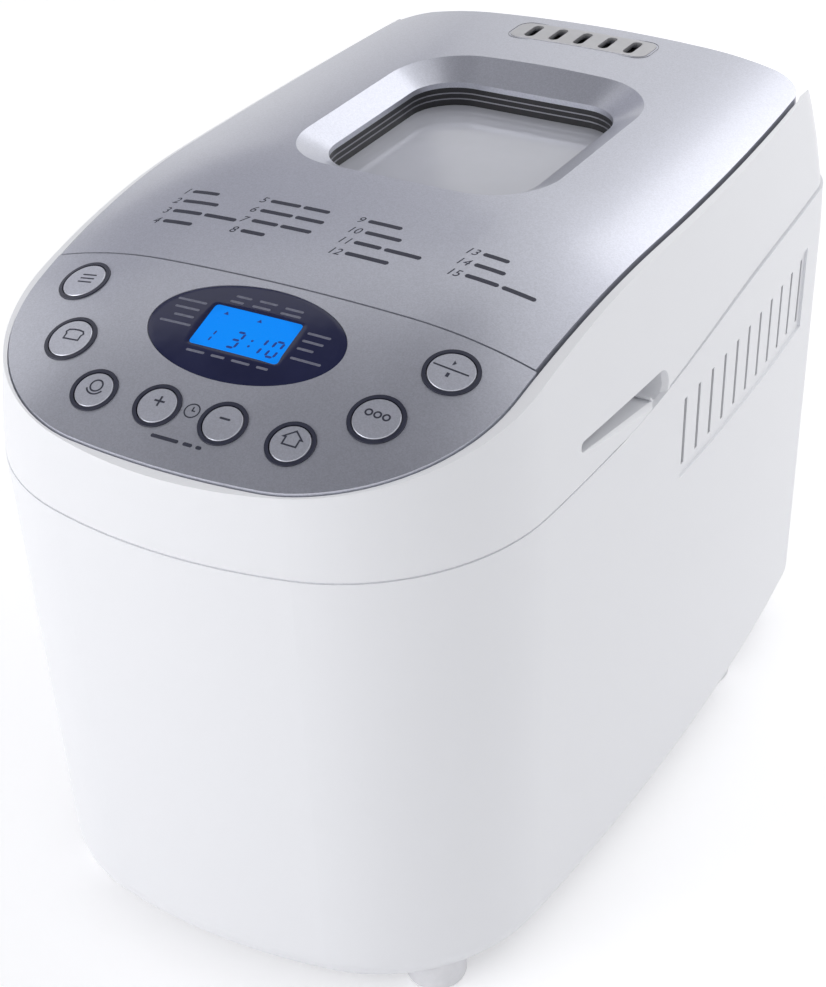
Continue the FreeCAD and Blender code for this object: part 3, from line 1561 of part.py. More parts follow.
def build():
    case = (upper_housing, lower_housing, base_plate, base_screws, feet, cord_gland)
    controls = (control_panel, button_rings, buttons, control_board, switches, display_lens, lcd_module)
    lid = (lid_cover, vent_grille, window_frame, window_outer, window_inner, lid_liner, lid_screws,
           lid_gasket, hinge_pins)
    oven = (oven_chamber, chamber_collar, heating_element, element_clips, temperature_sensor, pan_socket)
    pan = (bread_pan, pan_base, pan_bearing, pan_lugs, pan_handle, pan_shaft, kneading_paddle)
    drive = (drive_coupling, drive_shaft, shaft_bearing, drive_pulley, drive_belt, motor_pulley,
             motor_shaft, motor_fan, motor_housing, chassis, chassis_posts, power_board)
    for make in case + controls + lid + oven + pan + drive:
        make()


build()
DOC.recompute()

for made in PIECES:
    state = " ".join(made.State)
    if "Invalid" in state or "Error" in state or made.Shape.isNull() or not made.Shape.isValid():
        raise RuntimeError("%s failed: %s" % (made.Label, state))
for made in PIECES:
    made.Shape.exportStep("parts/%s.step" % made.Label)
print("%d sub-parts written" % len(PIECES))
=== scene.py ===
"""Bread machine: finishes, printed marks, display and studio, laid over the fixed frame."""
import math

import bmesh
import bpy
from bpy.props import FloatProperty, FloatVectorProperty, IntProperty, PointerProperty
from bpy.types import Operator, Panel, PropertyGroup
from mathutils import Matrix, Vector
from mathutils.bvhtree import BVHTree


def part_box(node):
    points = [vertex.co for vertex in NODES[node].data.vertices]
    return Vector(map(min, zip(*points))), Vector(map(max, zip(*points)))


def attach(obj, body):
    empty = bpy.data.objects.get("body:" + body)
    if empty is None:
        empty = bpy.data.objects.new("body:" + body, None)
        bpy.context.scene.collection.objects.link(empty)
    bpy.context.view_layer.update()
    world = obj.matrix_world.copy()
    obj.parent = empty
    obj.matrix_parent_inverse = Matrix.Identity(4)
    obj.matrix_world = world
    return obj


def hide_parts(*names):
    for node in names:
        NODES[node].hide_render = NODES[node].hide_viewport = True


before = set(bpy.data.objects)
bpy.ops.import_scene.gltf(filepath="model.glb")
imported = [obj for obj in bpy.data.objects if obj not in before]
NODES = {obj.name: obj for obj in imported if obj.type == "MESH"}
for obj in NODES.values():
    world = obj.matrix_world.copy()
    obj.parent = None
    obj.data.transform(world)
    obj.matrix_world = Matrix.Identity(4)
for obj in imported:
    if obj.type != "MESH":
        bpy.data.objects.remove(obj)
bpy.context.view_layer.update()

bl_info = {
    "name": "Bread machine",
    "version": (1, 0, 0),
    "blender": (4, 5, 0),
    "location": "3D View > Sidebar > Bread machine",
    "description": "Finishes, printed marks, display and studio for a bread machine",
    "category": "Object",
}

MM = 0.001


def linear(code):
    """sRGB hex code to linear red, green and blue."""
    parts = [int(code[i:i + 2], 16) / 255 for i in (0, 2, 4)]
    return tuple(c / 12.92 if c <= 0.04045 else ((c + 0.055) / 1.055) ** 2.4 for c in parts)


def tint(name, description, code):
    """Colour property that starts from a hex code."""
    return FloatVectorProperty(name=name, description=description, subtype="COLOR", size=3, min=0, max=1,
                               default=linear(code))


def length(name, description, millimetres):
    """Length property that starts from millimetres."""
    return FloatProperty(name=name, description=description, subtype="DISTANCE", unit="LENGTH", min=0,
                         default=millimetres * MM)


# ---------------------------------------------------------------- settings

class BreadMachineColours(PropertyGroup):
    """Colours a user would change."""
    shell: tint("Shell", "Moulded outer case", "EDEEF2")
    silver: tint("Silver", "Lacquered lid, control panel and buttons", "BDBFCA")
    outline: tint("Outline", "Rings round the buttons and the printed marks", "2E3040")
    screen: tint("Screen", "Smoked lens round the display", "232645")
    backlight: tint("Backlight", "Lit face of the display", "0A8CFF")
    digits: tint("Digits", "Dark figures on the display", "123C96")
    label: tint("Label", "Faint marks printed inside the lens", "6D6F80")
    grille: tint("Grille", "Steam vent in the lid", "C0C0C3")
    pane: tint("Pane", "Milky outer pane of the window", "E2E4EE")
    pan: tint("Pan", "Non-stick coat of the pan and paddle", "2B2B2D")
    card: tint("Card", "Boards that the lacquer mirrors", "6A6A70")


class BreadMachineMarks(PropertyGroup):
    """Sizes of the printed marks."""
    figure: length("Figure height", "Height of the programme numbers on the lid", 4.2)
    row: length("Row pitch", "Distance between two programme rows", 7.3)
    bar: length("Bar height", "Height of the neutral bars beside the numbers", 2.2)
    line: length("Line width", "Width of the lines of a symbol on a button", 0.7)
    proud: length("Ink height", "How far the ink stands off the surface", 0.05)
    programmes: IntProperty(name="Programmes", description="Numbers printed on the lid", default=15, min=1,
                            max=15)


class BreadMachineDisplay(PropertyGroup):
    """Sizes of the display."""
    width: length("Width", "Lit width", 39.0)
    depth: length("Depth", "Lit depth", 21.0)
    corner: length("Corner", "Corner radius of the lit face", 1.6)
    sunk: length("Sunk", "Depth of the lit face below the lens", 0.5)
    figure: length("Figure height", "Height of a display figure", 9.0)


class BreadMachineStudio(PropertyGroup):
    """Floor, lamps and camera."""
    floor: tint("Floor", "Plain pale floor", "F4F4F6")
    key: FloatProperty(name="Key lamp", description="Soft box behind, above the right", unit="POWER",
                       default=9.8)
    fill: FloatProperty(name="Fill lamp", description="Soft box in front, on the left", unit="POWER",
                        default=18.0)
    ambient: FloatProperty(name="Ambient", description="Even light from all round", default=0.78, min=0,
                           max=1)
    lens: FloatProperty(name="Lens", description="Focal length in millimetres", default=83.49, min=20,
                        max=300)


def settings(context):
    """The four groups of settings of the scene."""
    scene = context.scene
    return (scene.bread_machine_colours, scene.bread_machine_marks, scene.bread_machine_display,
            scene.bread_machine_studio)


# ---------------------------------------------------------------- materials

def node(tree, kind, values=None, links=None):
    """Adds a node with its options or input values, and links its inputs to outputs."""
    made = tree.nodes.new(kind)
    for key, value in (values or {}).items():
        if key == "stops":
            stops = made.color_ramp.elements
            while len(stops) < len(value):
                stops.new(0.5)
            for stop, (position, colour) in zip(stops, value):
                stop.position, stop.color = position, (*colour, 1)
        elif isinstance(key, str) and hasattr(made, key):
            setattr(made, key, value)
        else:
            made.inputs[key].default_value = value
    for key, output in (links or {}).items():
        tree.links.new(output, made.inputs[key])
    return made


def per(millimetres):
    """Texture scale for a feature of that size, with coordinates in metres."""
    return 1 / (millimetres * MM)


def shade(colour, factor):
    """A colour made lighter or darker, kept in range."""
    return tuple(min(1.0, c * factor) for c in colour[:3])


def finish(name, colour, roughness, mottle=0.04, patch=30, grain=0.6, depth=0.01, spread=0.05,
           stretch=(1, 1, 1), second=None, **sockets):
    """Node material: its colour and gloss drift over patches, and a fine grain stands off the surface.

    patch and grain are sizes in millimetres, depth is the height of the grain in millimetres,
    mottle and spread are how far the colour and the roughness drift, stretch draws the grain out,
    second is another colour that the patches run into, and sockets go straight on the shader.
    """
    material = bpy.data.materials.new(name)
    material.use_nodes = True
    tree = material.node_tree
    shader = tree.nodes["Principled BSDF"]
    for socket, value in sockets.items():
        shader.inputs[socket.replace("_", " ")].default_value = value
    place = node(tree, "ShaderNodeTexCoord").outputs["Object"]
    drift = node(tree, "ShaderNodeTexNoise", {"Scale": per(patch), "Detail": 4.0, "Roughness": 0.6},
                 {"Vector": place}).outputs["Fac"]
    low = shade(colour, 1 - mottle)
    high = second[:3] if second else shade(colour, 1 + mottle)
    colours = node(tree, "ShaderNodeValToRGB", {"stops": [(0.3, low), (0.7, high)]}, {"Fac": drift})
    tree.links.new(colours.outputs["Color"], shader.inputs["Base Color"])
    gloss = node(tree, "ShaderNodeMapRange", {"From Min": 0.3, "From Max": 0.7,
                                              "To Min": max(0.02, roughness - spread),
                                              "To Max": roughness + spread}, {"Value": drift})
    tree.links.new(gloss.outputs["Result"], shader.inputs["Roughness"])
    drawn = node(tree, "ShaderNodeMapping", {"Scale": stretch}, {"Vector": place}).outputs["Vector"]
    fine = node(tree, "ShaderNodeTexNoise", {"Scale": per(grain), "Detail": 2.0},
                {"Vector": drawn}).outputs["Fac"]
    bump = node(tree, "ShaderNodeBump", {"Strength": 1.0, "Distance": depth * MM}, {"Height": fine})
    tree.links.new(bump.outputs["Normal"], shader.inputs["Normal"])
    return material


def flaked(name, colour, roughness, flake=0.5, sparkle=0.07, **sockets):
    """Silver lacquer: small flakes lie at slightly different brightness under a clear coat."""
    material = finish(name, colour, roughness, mottle=0.015, patch=60, grain=0.7, depth=0.003, spread=0.02,
                      **sockets)
    tree = material.node_tree
    shader = tree.nodes["Principled BSDF"]
    base = shader.inputs["Base Color"].links[0].from_socket
    place = next(n for n in tree.nodes if n.type == "TEX_COORD").outputs["Object"]
    cells = node(tree, "ShaderNodeTexVoronoi", {"Scale": per(flake)}, {"Vector": place}).outputs["Color"]
    grey = node(tree, "ShaderNodeSeparateColor", {}, {"Color": cells}).outputs["Red"]
    light = node(tree, "ShaderNodeMapRange", {"To Min": 1 - sparkle, "To Max": 1 + sparkle}, {"Value": grey})
    mixed = node(tree, "ShaderNodeVectorMath", {"operation": "MULTIPLY"},
                 {0: base, 1: light.outputs["Result"]}).outputs["Vector"]
    tree.links.new(mixed, shader.inputs["Base Color"])
    return material


def dress(names, material):
    """Gives CAD nodes a material, and lets every face use the corner normals that it came with."""
    for name in names:
        mesh = NODES[name].data
        mesh.materials.clear()
        mesh.materials.append(material)
        normals = [corner.vector.copy() for corner in mesh.corner_normals]
        mesh.shade_smooth()
        mesh.normals_split_custom_set(normals)


# ---------------------------------------------------------------- mesh helpers

def surface(name):
    """Search tree of a CAD node's own faces."""
    mesh = NODES[name].data
    return BVHTree.FromPolygons([v.co for v in mesh.vertices], [p.vertices for p in mesh.polygons])


def seat(tree, x, y):
    """Frame on the first face met from above: X to the right along the surface, Z along its normal."""
    spot, normal, _index, _distance = tree.ray_cast(Vector((x, y, 1)), Vector((0, 0, -1)))
    across = (Vector((1, 0, 0)) - normal * normal.x).normalized()
    made = Matrix.Identity(4)
    for column, axis in enumerate((across, normal.cross(across), normal, spot)):
        made.col[column].xyz = axis
    return made


def flat_text(text, height, slant=0.0):
    """Points and faces of figures, centred on their height and starting at x = 0."""
    curve = bpy.data.curves.new("figures", "FONT")
    curve.body, curve.size, curve.resolution_u, curve.shear = text, height * 1.38, 3, slant
    holder = bpy.data.objects.new("figures", curve)
    mesh = bpy.data.meshes.new_from_object(holder)
    made = bmesh.new()
    made.from_mesh(mesh)
    bmesh.ops.remove_doubles(made, verts=made.verts, dist=height * 0.002)
    points = [(v.co.x, v.co.y - height / 2) for v in made.verts]
    faces = [[v.index for v in f.verts] for f in made.faces]
    made.free()
    bpy.data.objects.remove(holder)
    bpy.data.curves.remove(curve)
    bpy.data.meshes.remove(mesh)
    return points, faces


def flat_line(points, width, closed=False):
    """Points and faces of a line of one width, with mitred bends."""
    count, left, right = len(points), [], []
    for i, (x, y) in enumerate(points):
        before = points[i - 1] if closed or i else points[i]
        after = points[(i + 1) % count] if closed or i < count - 1 else points[i]
        a = Vector((x - before[0], y - before[1]))
        b = Vector((after[0] - x, after[1] - y))
        a = a.normalized() if a.length else b.normalized()
        b = b.normalized() if b.length else a
        middle = (a + b).normalized() if (a + b).length > 1e-6 else b
        side = Vector((-middle.y, middle.x)) * (width / 2 / max(0.4, middle.dot(b)))
        left.append((x + side.x, y + side.y))
        right.append((x - side.x, y - side.y))
    last = count if closed else count - 1
    faces = [[i + count, (i + 1) % count + count, (i + 1) % count, i] for i in range(last)]
    return left + right, faces


def flat_ring(radius, width, start=0.0, sweep=math.tau, centre=(0, 0), steps=32):
    """A whole or part ring."""
    whole = sweep >= math.tau
    angles = [start + sweep * i / steps for i in range(steps if whole else steps + 1)]
    path = [(centre[0] + radius * math.cos(a), centre[1] + radius * math.sin(a)) for a in angles]
    return flat_line(path, width, whole)


def flat_shape(points):
    """One convex outline, counted anticlockwise."""
    return list(points), [list(range(len(points)))]


def flat_bar(x, y, wide, high, pieces=4):
    """A bar with softened ends, cut across so that it can follow a curve."""
    end = high * 0.3
    columns = [(0, high / 2 - end)]
    columns += [(end + (wide - 2 * end) * i / pieces, high / 2) for i in range(pieces + 1)]
    columns.append((wide, high / 2 - end))
    points = [(x + c, y - h) for c, h in columns] + [(x + c, y + h) for c, h in columns]
    count = len(columns)
    return points, [[i, i + 1, i + 1 + count, i + count] for i in range(count - 1)]


def moved(flat, x=0.0, y=0.0):
    """Flat points and faces, shifted."""
    points, faces = flat
    return [(px + x, py + y) for px, py in points], faces


def inked(name, marks, body, material, proud, sunk=0.04 * MM):
    """One piece from flat marks laid on surfaces: each is (tree, frame, flat), closed all round."""
    vertices, polygons = [], []
    for tree, place, (points, faces) in marks:
        start, count = len(vertices), len(points)
        normal = place.col[2].xyz.normalized()
        for lift in (-sunk, proud):
            for x, y in points:
                above = place @ Vector((x, y, 0.004))
                spot = tree.ray_cast(above, -normal)[0] if tree else None
                vertices.append((spot or place @ Vector((x, y, 0))) + normal * lift)
        edges = {}
        for face in faces:
            polygons.append([start + i for i in reversed(face)])
            polygons.append([start + count + i for i in face])
            for a, b in zip(face, face[1:] + face[:1]):
                edges[(a, b)] = True
        for a, b in edges:
            if (b, a) not in edges:
                polygons.append([start + a, start + b, start + count + b, start + count + a])
    mesh = bpy.data.meshes.new(name)
    mesh.from_pydata(vertices, [], polygons)
    mesh.validate()
    return placed(name, mesh, body, material)


def placed(name, mesh, body, material):
    """Object from a mesh, riding on a body."""
    made = bpy.data.objects.new(name, mesh)
    bpy.context.scene.collection.objects.link(made)
    mesh.materials.append(material)
    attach(made, body)
    return made


def sealed(name, vertices, faces, body, material):
    """Closed piece from points and faces, with its faces turned outward."""
    mesh = bpy.data.meshes.new(name)
    mesh.from_pydata(vertices, [], faces)
    made = bmesh.new()
    made.from_mesh(mesh)
    bmesh.ops.recalc_face_normals(made, faces=made.faces)
    made.to_mesh(mesh)
    made.free()
    return placed(name, mesh, body, material)


def rounded(half_x, half_y, corner, steps=6):
    """Corners of a rounded rectangle about the origin, anticlockwise."""
    points = []
    for quarter, (sx, sy) in enumerate(((1, 1), (-1, 1), (-1, -1), (1, -1))):
        for i in range(steps + 1):
            angle = (quarter + i / steps) * math.pi / 2
            points.append((sx * (half_x - corner) + corner * math.cos(angle),
                           sy * (half_y - corner) + corner * math.sin(angle)))
    return points


def centre_of(name):
    """Middle of a CAD node's box."""
    low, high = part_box(name)
    return (low + high) / 2


# ---------------------------------------------------------------- case

class BREADMACHINE_OT_case(Operator):
    """White case: upper and lower shells, base plate, feet and cord gland"""
    bl_idname = "bread_machine.case"
    bl_label = "Case"

    # Rear end of the finger recess, and the plate that closes its floor. The plate ends at the lower
    # shell, which is looked for from a place well inside the case. Its sweep is in degrees.
    recess = Vector((0, -20.0 * MM, 224.6 * MM))
    recess_radius = 5.5 * MM
    floor_gap = 0.04 * MM
    floor_thickness = 1.0 * MM
    floor_length = 12 * MM
    floor_from, floor_sweep = -150, 140
    inside = 90 * MM

    def recess_floor(self, side, material, steps=20):
        """Curved plate that closes the floor of a finger recess, from its back to the lower shell."""
        shell = surface("lower_housing")
        under = self.recess.z - self.recess_radius - self.floor_thickness
        start = Vector((side * self.inside, self.recess.y, under))
        end = shell.ray_cast(start, Vector((side, 0, 0)))[0].x - side * self.floor_gap
        rings = []
        for x in (end, end - side * self.floor_length):
            for radius in (self.recess_radius + self.floor_gap, self.recess_radius + self.floor_thickness):
                ring = []
                for i in range(steps + 1):
                    angle = math.radians(self.floor_from + self.floor_sweep * i / steps)
                    ring.append(Vector((x, self.recess.y + radius * math.cos(angle),
                                        self.recess.z + radius * math.sin(angle))))
                rings.append(ring)
        count = steps + 1
        vertices = [point for ring in rings for point in ring]
        faces = []
        for a, b in ((0, 1), (1, 3), (3, 2), (2, 0)):
            for i in range(steps):
                faces.append([a * count + i, b * count + i, b * count + i + 1, a * count + i + 1])
        for i in (0, steps):
            faces.append([i, 2 * count + i, 3 * count + i, count + i])
        name = "recess_floor_left" if side < 0 else "recess_floor_right"
        sealed(name, vertices, faces, "housing", material)

    def execute(self, context):
        colours = settings(context)[0]
        # Injection-moulded ABS, polished tool: broad soft highlights on a cool white, with a trace of flow.
        shell = finish("abs_moulded_white", colours.shell, 0.3, mottle=0.003, patch=160, grain=0.9,
                       depth=0.004, spread=0.015, IOR=1.53)
        dress(["upper_housing", "lower_housing"], shell)
        for side in (-1, 1):
            self.recess_floor(side, shell)
        # Moulded polypropylene, spark-eroded tool: dull grey with a fine even grain.
        dress(["base_plate"], finish("polypropylene_grained_grey", linear("A9AAAD"), 0.55, grain=0.7,
                                     depth=0.03))
        # Moulded thermoplastic rubber: soft matt white that scuffs grey.
        dress(["foot_front_left", "foot_front_right", "foot_rear_left", "foot_rear_right"],
              finish("rubber_moulded_white", linear("E4E4E8"), 0.5, mottle=0.05, patch=8, grain=0.5,
                     depth=0.02))
        # Moulded nylon: black, waxy and slightly uneven.
        dress(["cord_gland"], finish("nylon_moulded_black", linear("1B1B1D"), 0.45, patch=10, depth=0.02))
        # Zinc-plated steel, cold headed: pale bluish metal with a brushed face.
        dress(["base_screws", "lid_screws"],
              finish("steel_zinc_plated", linear("C3C6CC"), 0.34, mottle=0.08, patch=3, grain=0.3, depth=0.01,
                     Metallic=1.0))
        return {"FINISHED"}


class BREADMACHINE_OT_panel(Operator):
    """Control panel: silver lacquer, button caps, rings and their symbols"""
    bl_idname = "bread_machine.panel"
    bl_label = "Control panel"

    def symbols(self, w, r):
        """Flat symbols for the caps, from a line width and a cap radius."""
        play = flat_shape([(-0.9 * w, 0.18 * r), (0.9 * w, 0.33 * r), (-0.9 * w, 0.48 * r)])
        square = flat_shape([(-0.9 * w, -0.5 * r), (0.9 * w, -0.5 * r), (0.9 * w, -0.26 * r),
                             (-0.9 * w, -0.26 * r)])
        loaf = [(-0.42, -0.26), (0.42, -0.26), (0.42, 0.02), (0.5, 0.14), (0.4, 0.27), (0.15, 0.32),
                (-0.15, 0.32), (-0.4, 0.27), (-0.5, 0.14), (-0.42, 0.02)]
        house = [(-0.34, -0.34), (0.34, -0.34), (0.34, 0.04), (0.46, 0.04), (0, 0.42), (-0.46, 0.04),
                 (-0.34, 0.04)]
        arm = r * 0.27
        half = w * 0.6
        cross = ([(-half, -arm), (half, -arm), (half, -half), (half, half), (half, arm), (-half, arm),
                  (-half, half), (-half, -half), (-arm, -half), (-arm, half), (arm, -half), (arm, half)],
                 [[0, 1, 2, 7], [3, 4, 5, 6], [7, 2, 3, 6], [8, 7, 6, 9], [2, 10, 11, 3]])
        return {
            "programme_button": [flat_bar(-0.42 * r, y * r, 0.84 * r, w) for y in (0.24, 0, -0.24)],
            "loaf_button": [flat_line([(x * r, y * r) for x, y in loaf], w, True)],
            "dough_button": [flat_ring(0.3 * r, w), flat_ring(0.46 * r, w, math.pi * 1.15, math.pi * 0.7)],
            "plus_button": [cross],
            "minus_button": [flat_bar(-arm, 0, 2 * arm, w * 1.3)],
            "recipe_button": [flat_line([(x * r, y * r) for x, y in house], w, True)],
            "crust_button": [flat_ring(0.15 * r, w, centre=(x * r, 0)) for x in (-0.42, 0, 0.42)],
            "start_button": [play, square, flat_bar(-0.86 * r, -0.04 * r, 1.72 * r, w)],
        }

    def execute(self, context):
        colours, marks = settings(context)[:2]
        # ABS with sprayed silver lacquer: grey metal look with fine flake under a thin clear coat.
        silver = flaked("lacquer_sprayed_silver", colours.silver, 0.34, Metallic=0.72, Coat_Weight=0.3,
                        Coat_Roughness=0.12)
        # The same lacquer on the caps, a shade lighter and duller.
        caps = flaked("lacquer_sprayed_silver_caps", shade(colours.silver, 1.1), 0.38, Metallic=0.7,
                      Coat_Weight=0.2, Coat_Roughness=0.2)
        names = [n for n in NODES if n.endswith("_button")]
        dress(["control_panel", "lid_cover"], silver)
        dress(names, caps)
        # Moulded ABS, polished: near-black navy lines.
        dress(["button_rings"], finish("abs_moulded_navy", colours.outline, 0.35, patch=6, depth=0.004))
        # Pad-printed ink: flat dark film, a little uneven where it is thin.
        ink = finish("ink_pad_printed", colours.outline, 0.55, mottle=0.2, patch=0.8, grain=0.2, depth=0.004)
        for name, flats in self.symbols(marks.line, 8.4 * MM).items():
            middle = centre_of(name)
            tree = surface(name)
            place = seat(tree, middle.x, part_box(name)[0].y * 0.5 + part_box(name)[1].y * 0.5)
            inked(name.replace("_button", "_symbol"), [(tree, place, flat) for flat in flats], name, ink,
                  marks.proud)
        tree = surface("control_panel")
        line, low = marks.line * 0.8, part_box("plus_button")[0].y
        clock = seat(tree, 0, centre_of("plus_button").y)
        dial = [flat_ring(3.0 * MM, line), flat_line([(0, 1.8 * MM), (0, 0), (1.3 * MM, 0)], line)]
        caption = seat(tree, 0, low - 3.2 * MM)
        bars = [flat_bar(x * MM, 0, wide * MM, marks.bar * 0.7)
                for x, wide in ((-10, 12), (4, 4), (9.6, 2.4))]
        inked("timer_mark", [(tree, clock, flat) for flat in dial] + [(tree, caption, flat) for flat in bars],
              "housing", ink, marks.proud)
        return {"FINISHED"}


class BREADMACHINE_OT_display(Operator):
    """Display: smoked lens with a lit screen, figures and faint marks"""
    bl_idname = "bread_machine.display"
    bl_label = "Display"

    # How far a figure leans, and the faint bars round the screen: left end, height on the lens and length
    # in millimetres, from the middle of the lens.
    lean = 0.12
    state_bar = 1.1 * MM
    states = (
        (-14, 16.2, 7), (-3.6, 16.4, 8), (8, 16.0, 8),
        (-15, 13.2, 6), (-5, 13.2, 8), (7.4, 13.2, 9),
        (-36, 9, 13), (-35, 5, 11), (-33, 1, 9), (-37, -3, 14),
        (23, 7, 10), (23, 3, 9), (23, -1, 7), (23, -6, 13),
        (-18, -14, 8), (-7, -14, 6), (2, -14, 8), (13, -14, 5),
    )

    def figure(self, digit, tall):
        """Seven-part display figure, leaning a little."""
        lit = {"0": "abcdef", "1": "bc", "3": "abcdg"}[digit]
        wide, thick = tall * 0.5, tall * 0.115
        h, w, t, gap = tall / 2, wide / 2, thick / 2, tall * 0.025
        near, far = w - t - gap, w - 2 * t - gap
        low, high = -h / 2 + t + gap, h / 2 - t - gap

        def across(y):
            return [(-near, y), (-far, y - t), (far, y - t), (near, y), (far, y + t), (-far, y + t)]

        def down(x, y):
            return [(x, y + low), (x + t, y + low + t), (x + t, y + high - t),
                    (x, y + high), (x - t, y + high - t), (x - t, y + low + t)]

        bars = {"a": across(h - t), "g": across(0), "d": across(t - h),
                "b": down(w - t, h / 2), "c": down(w - t, -h / 2),
                "e": down(t - w, -h / 2), "f": down(t - w, h / 2)}
        return [flat_shape([(x + y * self.lean, y) for x, y in bars[part]]) for part in lit]

    def execute(self, context):
        colours, marks, display, _studio = settings(context)
        low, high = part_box("display_lens")
        middle = (low + high) / 2
        tree = surface("display_lens")
        place = seat(tree, 0, middle.y)
        # Cast acrylic, smoked and back-printed: deep navy under a glassy face.
        smoked = finish("acrylic_smoked", colours.screen, 0.14, mottle=0.1, patch=25, grain=3, depth=0.002,
                        spread=0.03, IOR=1.4)
        self.mask(tree, place, low, high, display, smoked)
        screen = self.backlit(colours.backlight, place)
        box = rounded(display.width / 2 + 0.4 * MM, display.depth / 2 + 0.4 * MM, display.corner)
        inked("screen_face", [(None, place, flat_shape(box))], "housing", screen, -display.sunk, 1.6 * MM)
        # Liquid crystal: figures darker than the lit ground.
        crystal = finish("liquid_crystal_dark", colours.digits, 0.4, mottle=0.15, patch=3, depth=0.002)
        ground = place @ Matrix.Translation((0, 0, -display.sunk))
        size, flats = display.figure, []
        for digit, x, scale in (("1", -0.34, 0.72), ("3", -0.05, 1), ("1", 0.21, 1), ("0", 0.39, 1)):
            flats += [moved(flat, display.width * x, -display.depth * (0.2 + (1 - scale) * 0.1))
                      for flat in self.figure(digit, size * scale)]
        dot = size * 0.06
        for y in (-0.16, 0.16):
            turns = [math.tau * i / 12 for i in range(12)]
            spot = flat_shape([(dot * math.cos(turn), dot * math.sin(turn)) for turn in turns])
            flats.append(moved(spot, display.width * 0.115, -display.depth * 0.2 + size * y))
        for x in (-0.33, 0.05):
            flats.append(flat_shape([(display.width * x + dx * MM, display.depth * 0.34 + dy * MM)
                                     for dx, dy in ((-1.1, -0.7), (1.1, -0.7), (0, 0.9))]))
        inked("screen_figures", [(None, ground, flat) for flat in flats], "housing", crystal, 0.06 * MM,
              0.02 * MM)
        # Screen-printed ink inside the lens: faint grey bars where the states would be named.
        faint = finish("ink_screen_printed_grey", colours.label, 0.5, mottle=0.25, patch=1.2, grain=0.3,
                       depth=0.003)
        bars = [flat_bar(x * MM, y * MM, wide * MM, self.state_bar) for x, y, wide in self.states]
        inked("lens_marks", [(tree, place, flat) for flat in bars], "housing", faint, marks.proud * 0.6)
        # Printed circuit board, solder-masked: green with a lighter track pattern.
        board = finish("board_solder_masked", linear("1C5A33"), 0.35, mottle=0.3, patch=4, grain=1.2,
                       depth=0.03, second=linear("2F7A4A"))
        dress(["control_board", "power_board"], board)
        # Moulded phenolic and epoxy: black blocks with a dull bloom.
        dress(["switches", "power_parts", "lcd_module"],
              finish("phenolic_moulded_black", linear("1D1D20"), 0.5, mottle=0.2, patch=5, depth=0.02))
        return {"FINISHED"}

    def edge(self, angle, half_x, half_y, corner):
        """Point where a ray from the middle leaves a rounded rectangle."""
        x, y = math.cos(angle), math.sin(angle)
        near, far = 0.0, half_x + half_y
        for _halving in range(24):
            reach = (near + far) / 2
            outside = math.hypot(max(abs(x * reach) - half_x + corner, 0),
                                 max(abs(y * reach) - half_y + corner, 0))
            near, far = (reach, far) if outside <= corner else (near, reach)
        return Vector((x * near, y * near, 0))

    def mask(self, tree, place, low, high, display, material, around=180, steps=14):
        """Lens with a rounded opening over the screen: rings of points from there out to the ellipse."""
        middle, half = (low + high) / 2, (high - low) / 2
        normal = place.col[2].xyz.normalized()
        edge, back = 0.18 * MM, 2.2 * MM

        def on_lens(x, y, drop):
            """Point of the lens, drawn in a hair so that the ray can't miss its rim."""
            drawn_in = 0.9995
            start = Vector((x * drawn_in, middle.y + (y - middle.y) * drawn_in, 1))
            return tree.ray_cast(start, Vector((0, 0, -1)))[0] - normal * drop

        rings = [[] for _ring in range(steps + 1)]
        for i in range(around):
            inner = place @ self.edge(math.tau * i / around, display.width / 2, display.depth / 2,
                                      display.corner)
            angle = math.atan2((inner.y - middle.y) / half.y, inner.x / half.x)
            outer = Vector((half.x * math.cos(angle), middle.y + half.y * math.sin(angle)))
            for step, ring in enumerate(rings):
                ring.append(inner.xy.lerp(outer, step / steps))
        vertices = []
        for step, ring in enumerate(rings):
            vertices += [on_lens(p.x, p.y, edge if step in (0, steps) else 0) for p in ring]
        for ring in (rings[-1], rings[0]):
            vertices += [on_lens(p.x, p.y, back) for p in ring]
        loops = len(vertices) // around
        faces = []
        for loop in range(loops):
            here, there = loop * around, (loop + 1) % loops * around
            for i in range(around):
                j = (i + 1) % around
                faces.append([here + i, there + i, there + j, here + j])
        piece = sealed("lens_mask", vertices, faces, "housing", material)
        piece.data.shade_smooth()
        piece.modifiers.new("Edges", "EDGE_SPLIT").split_angle = math.radians(35)
        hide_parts("display_lens")

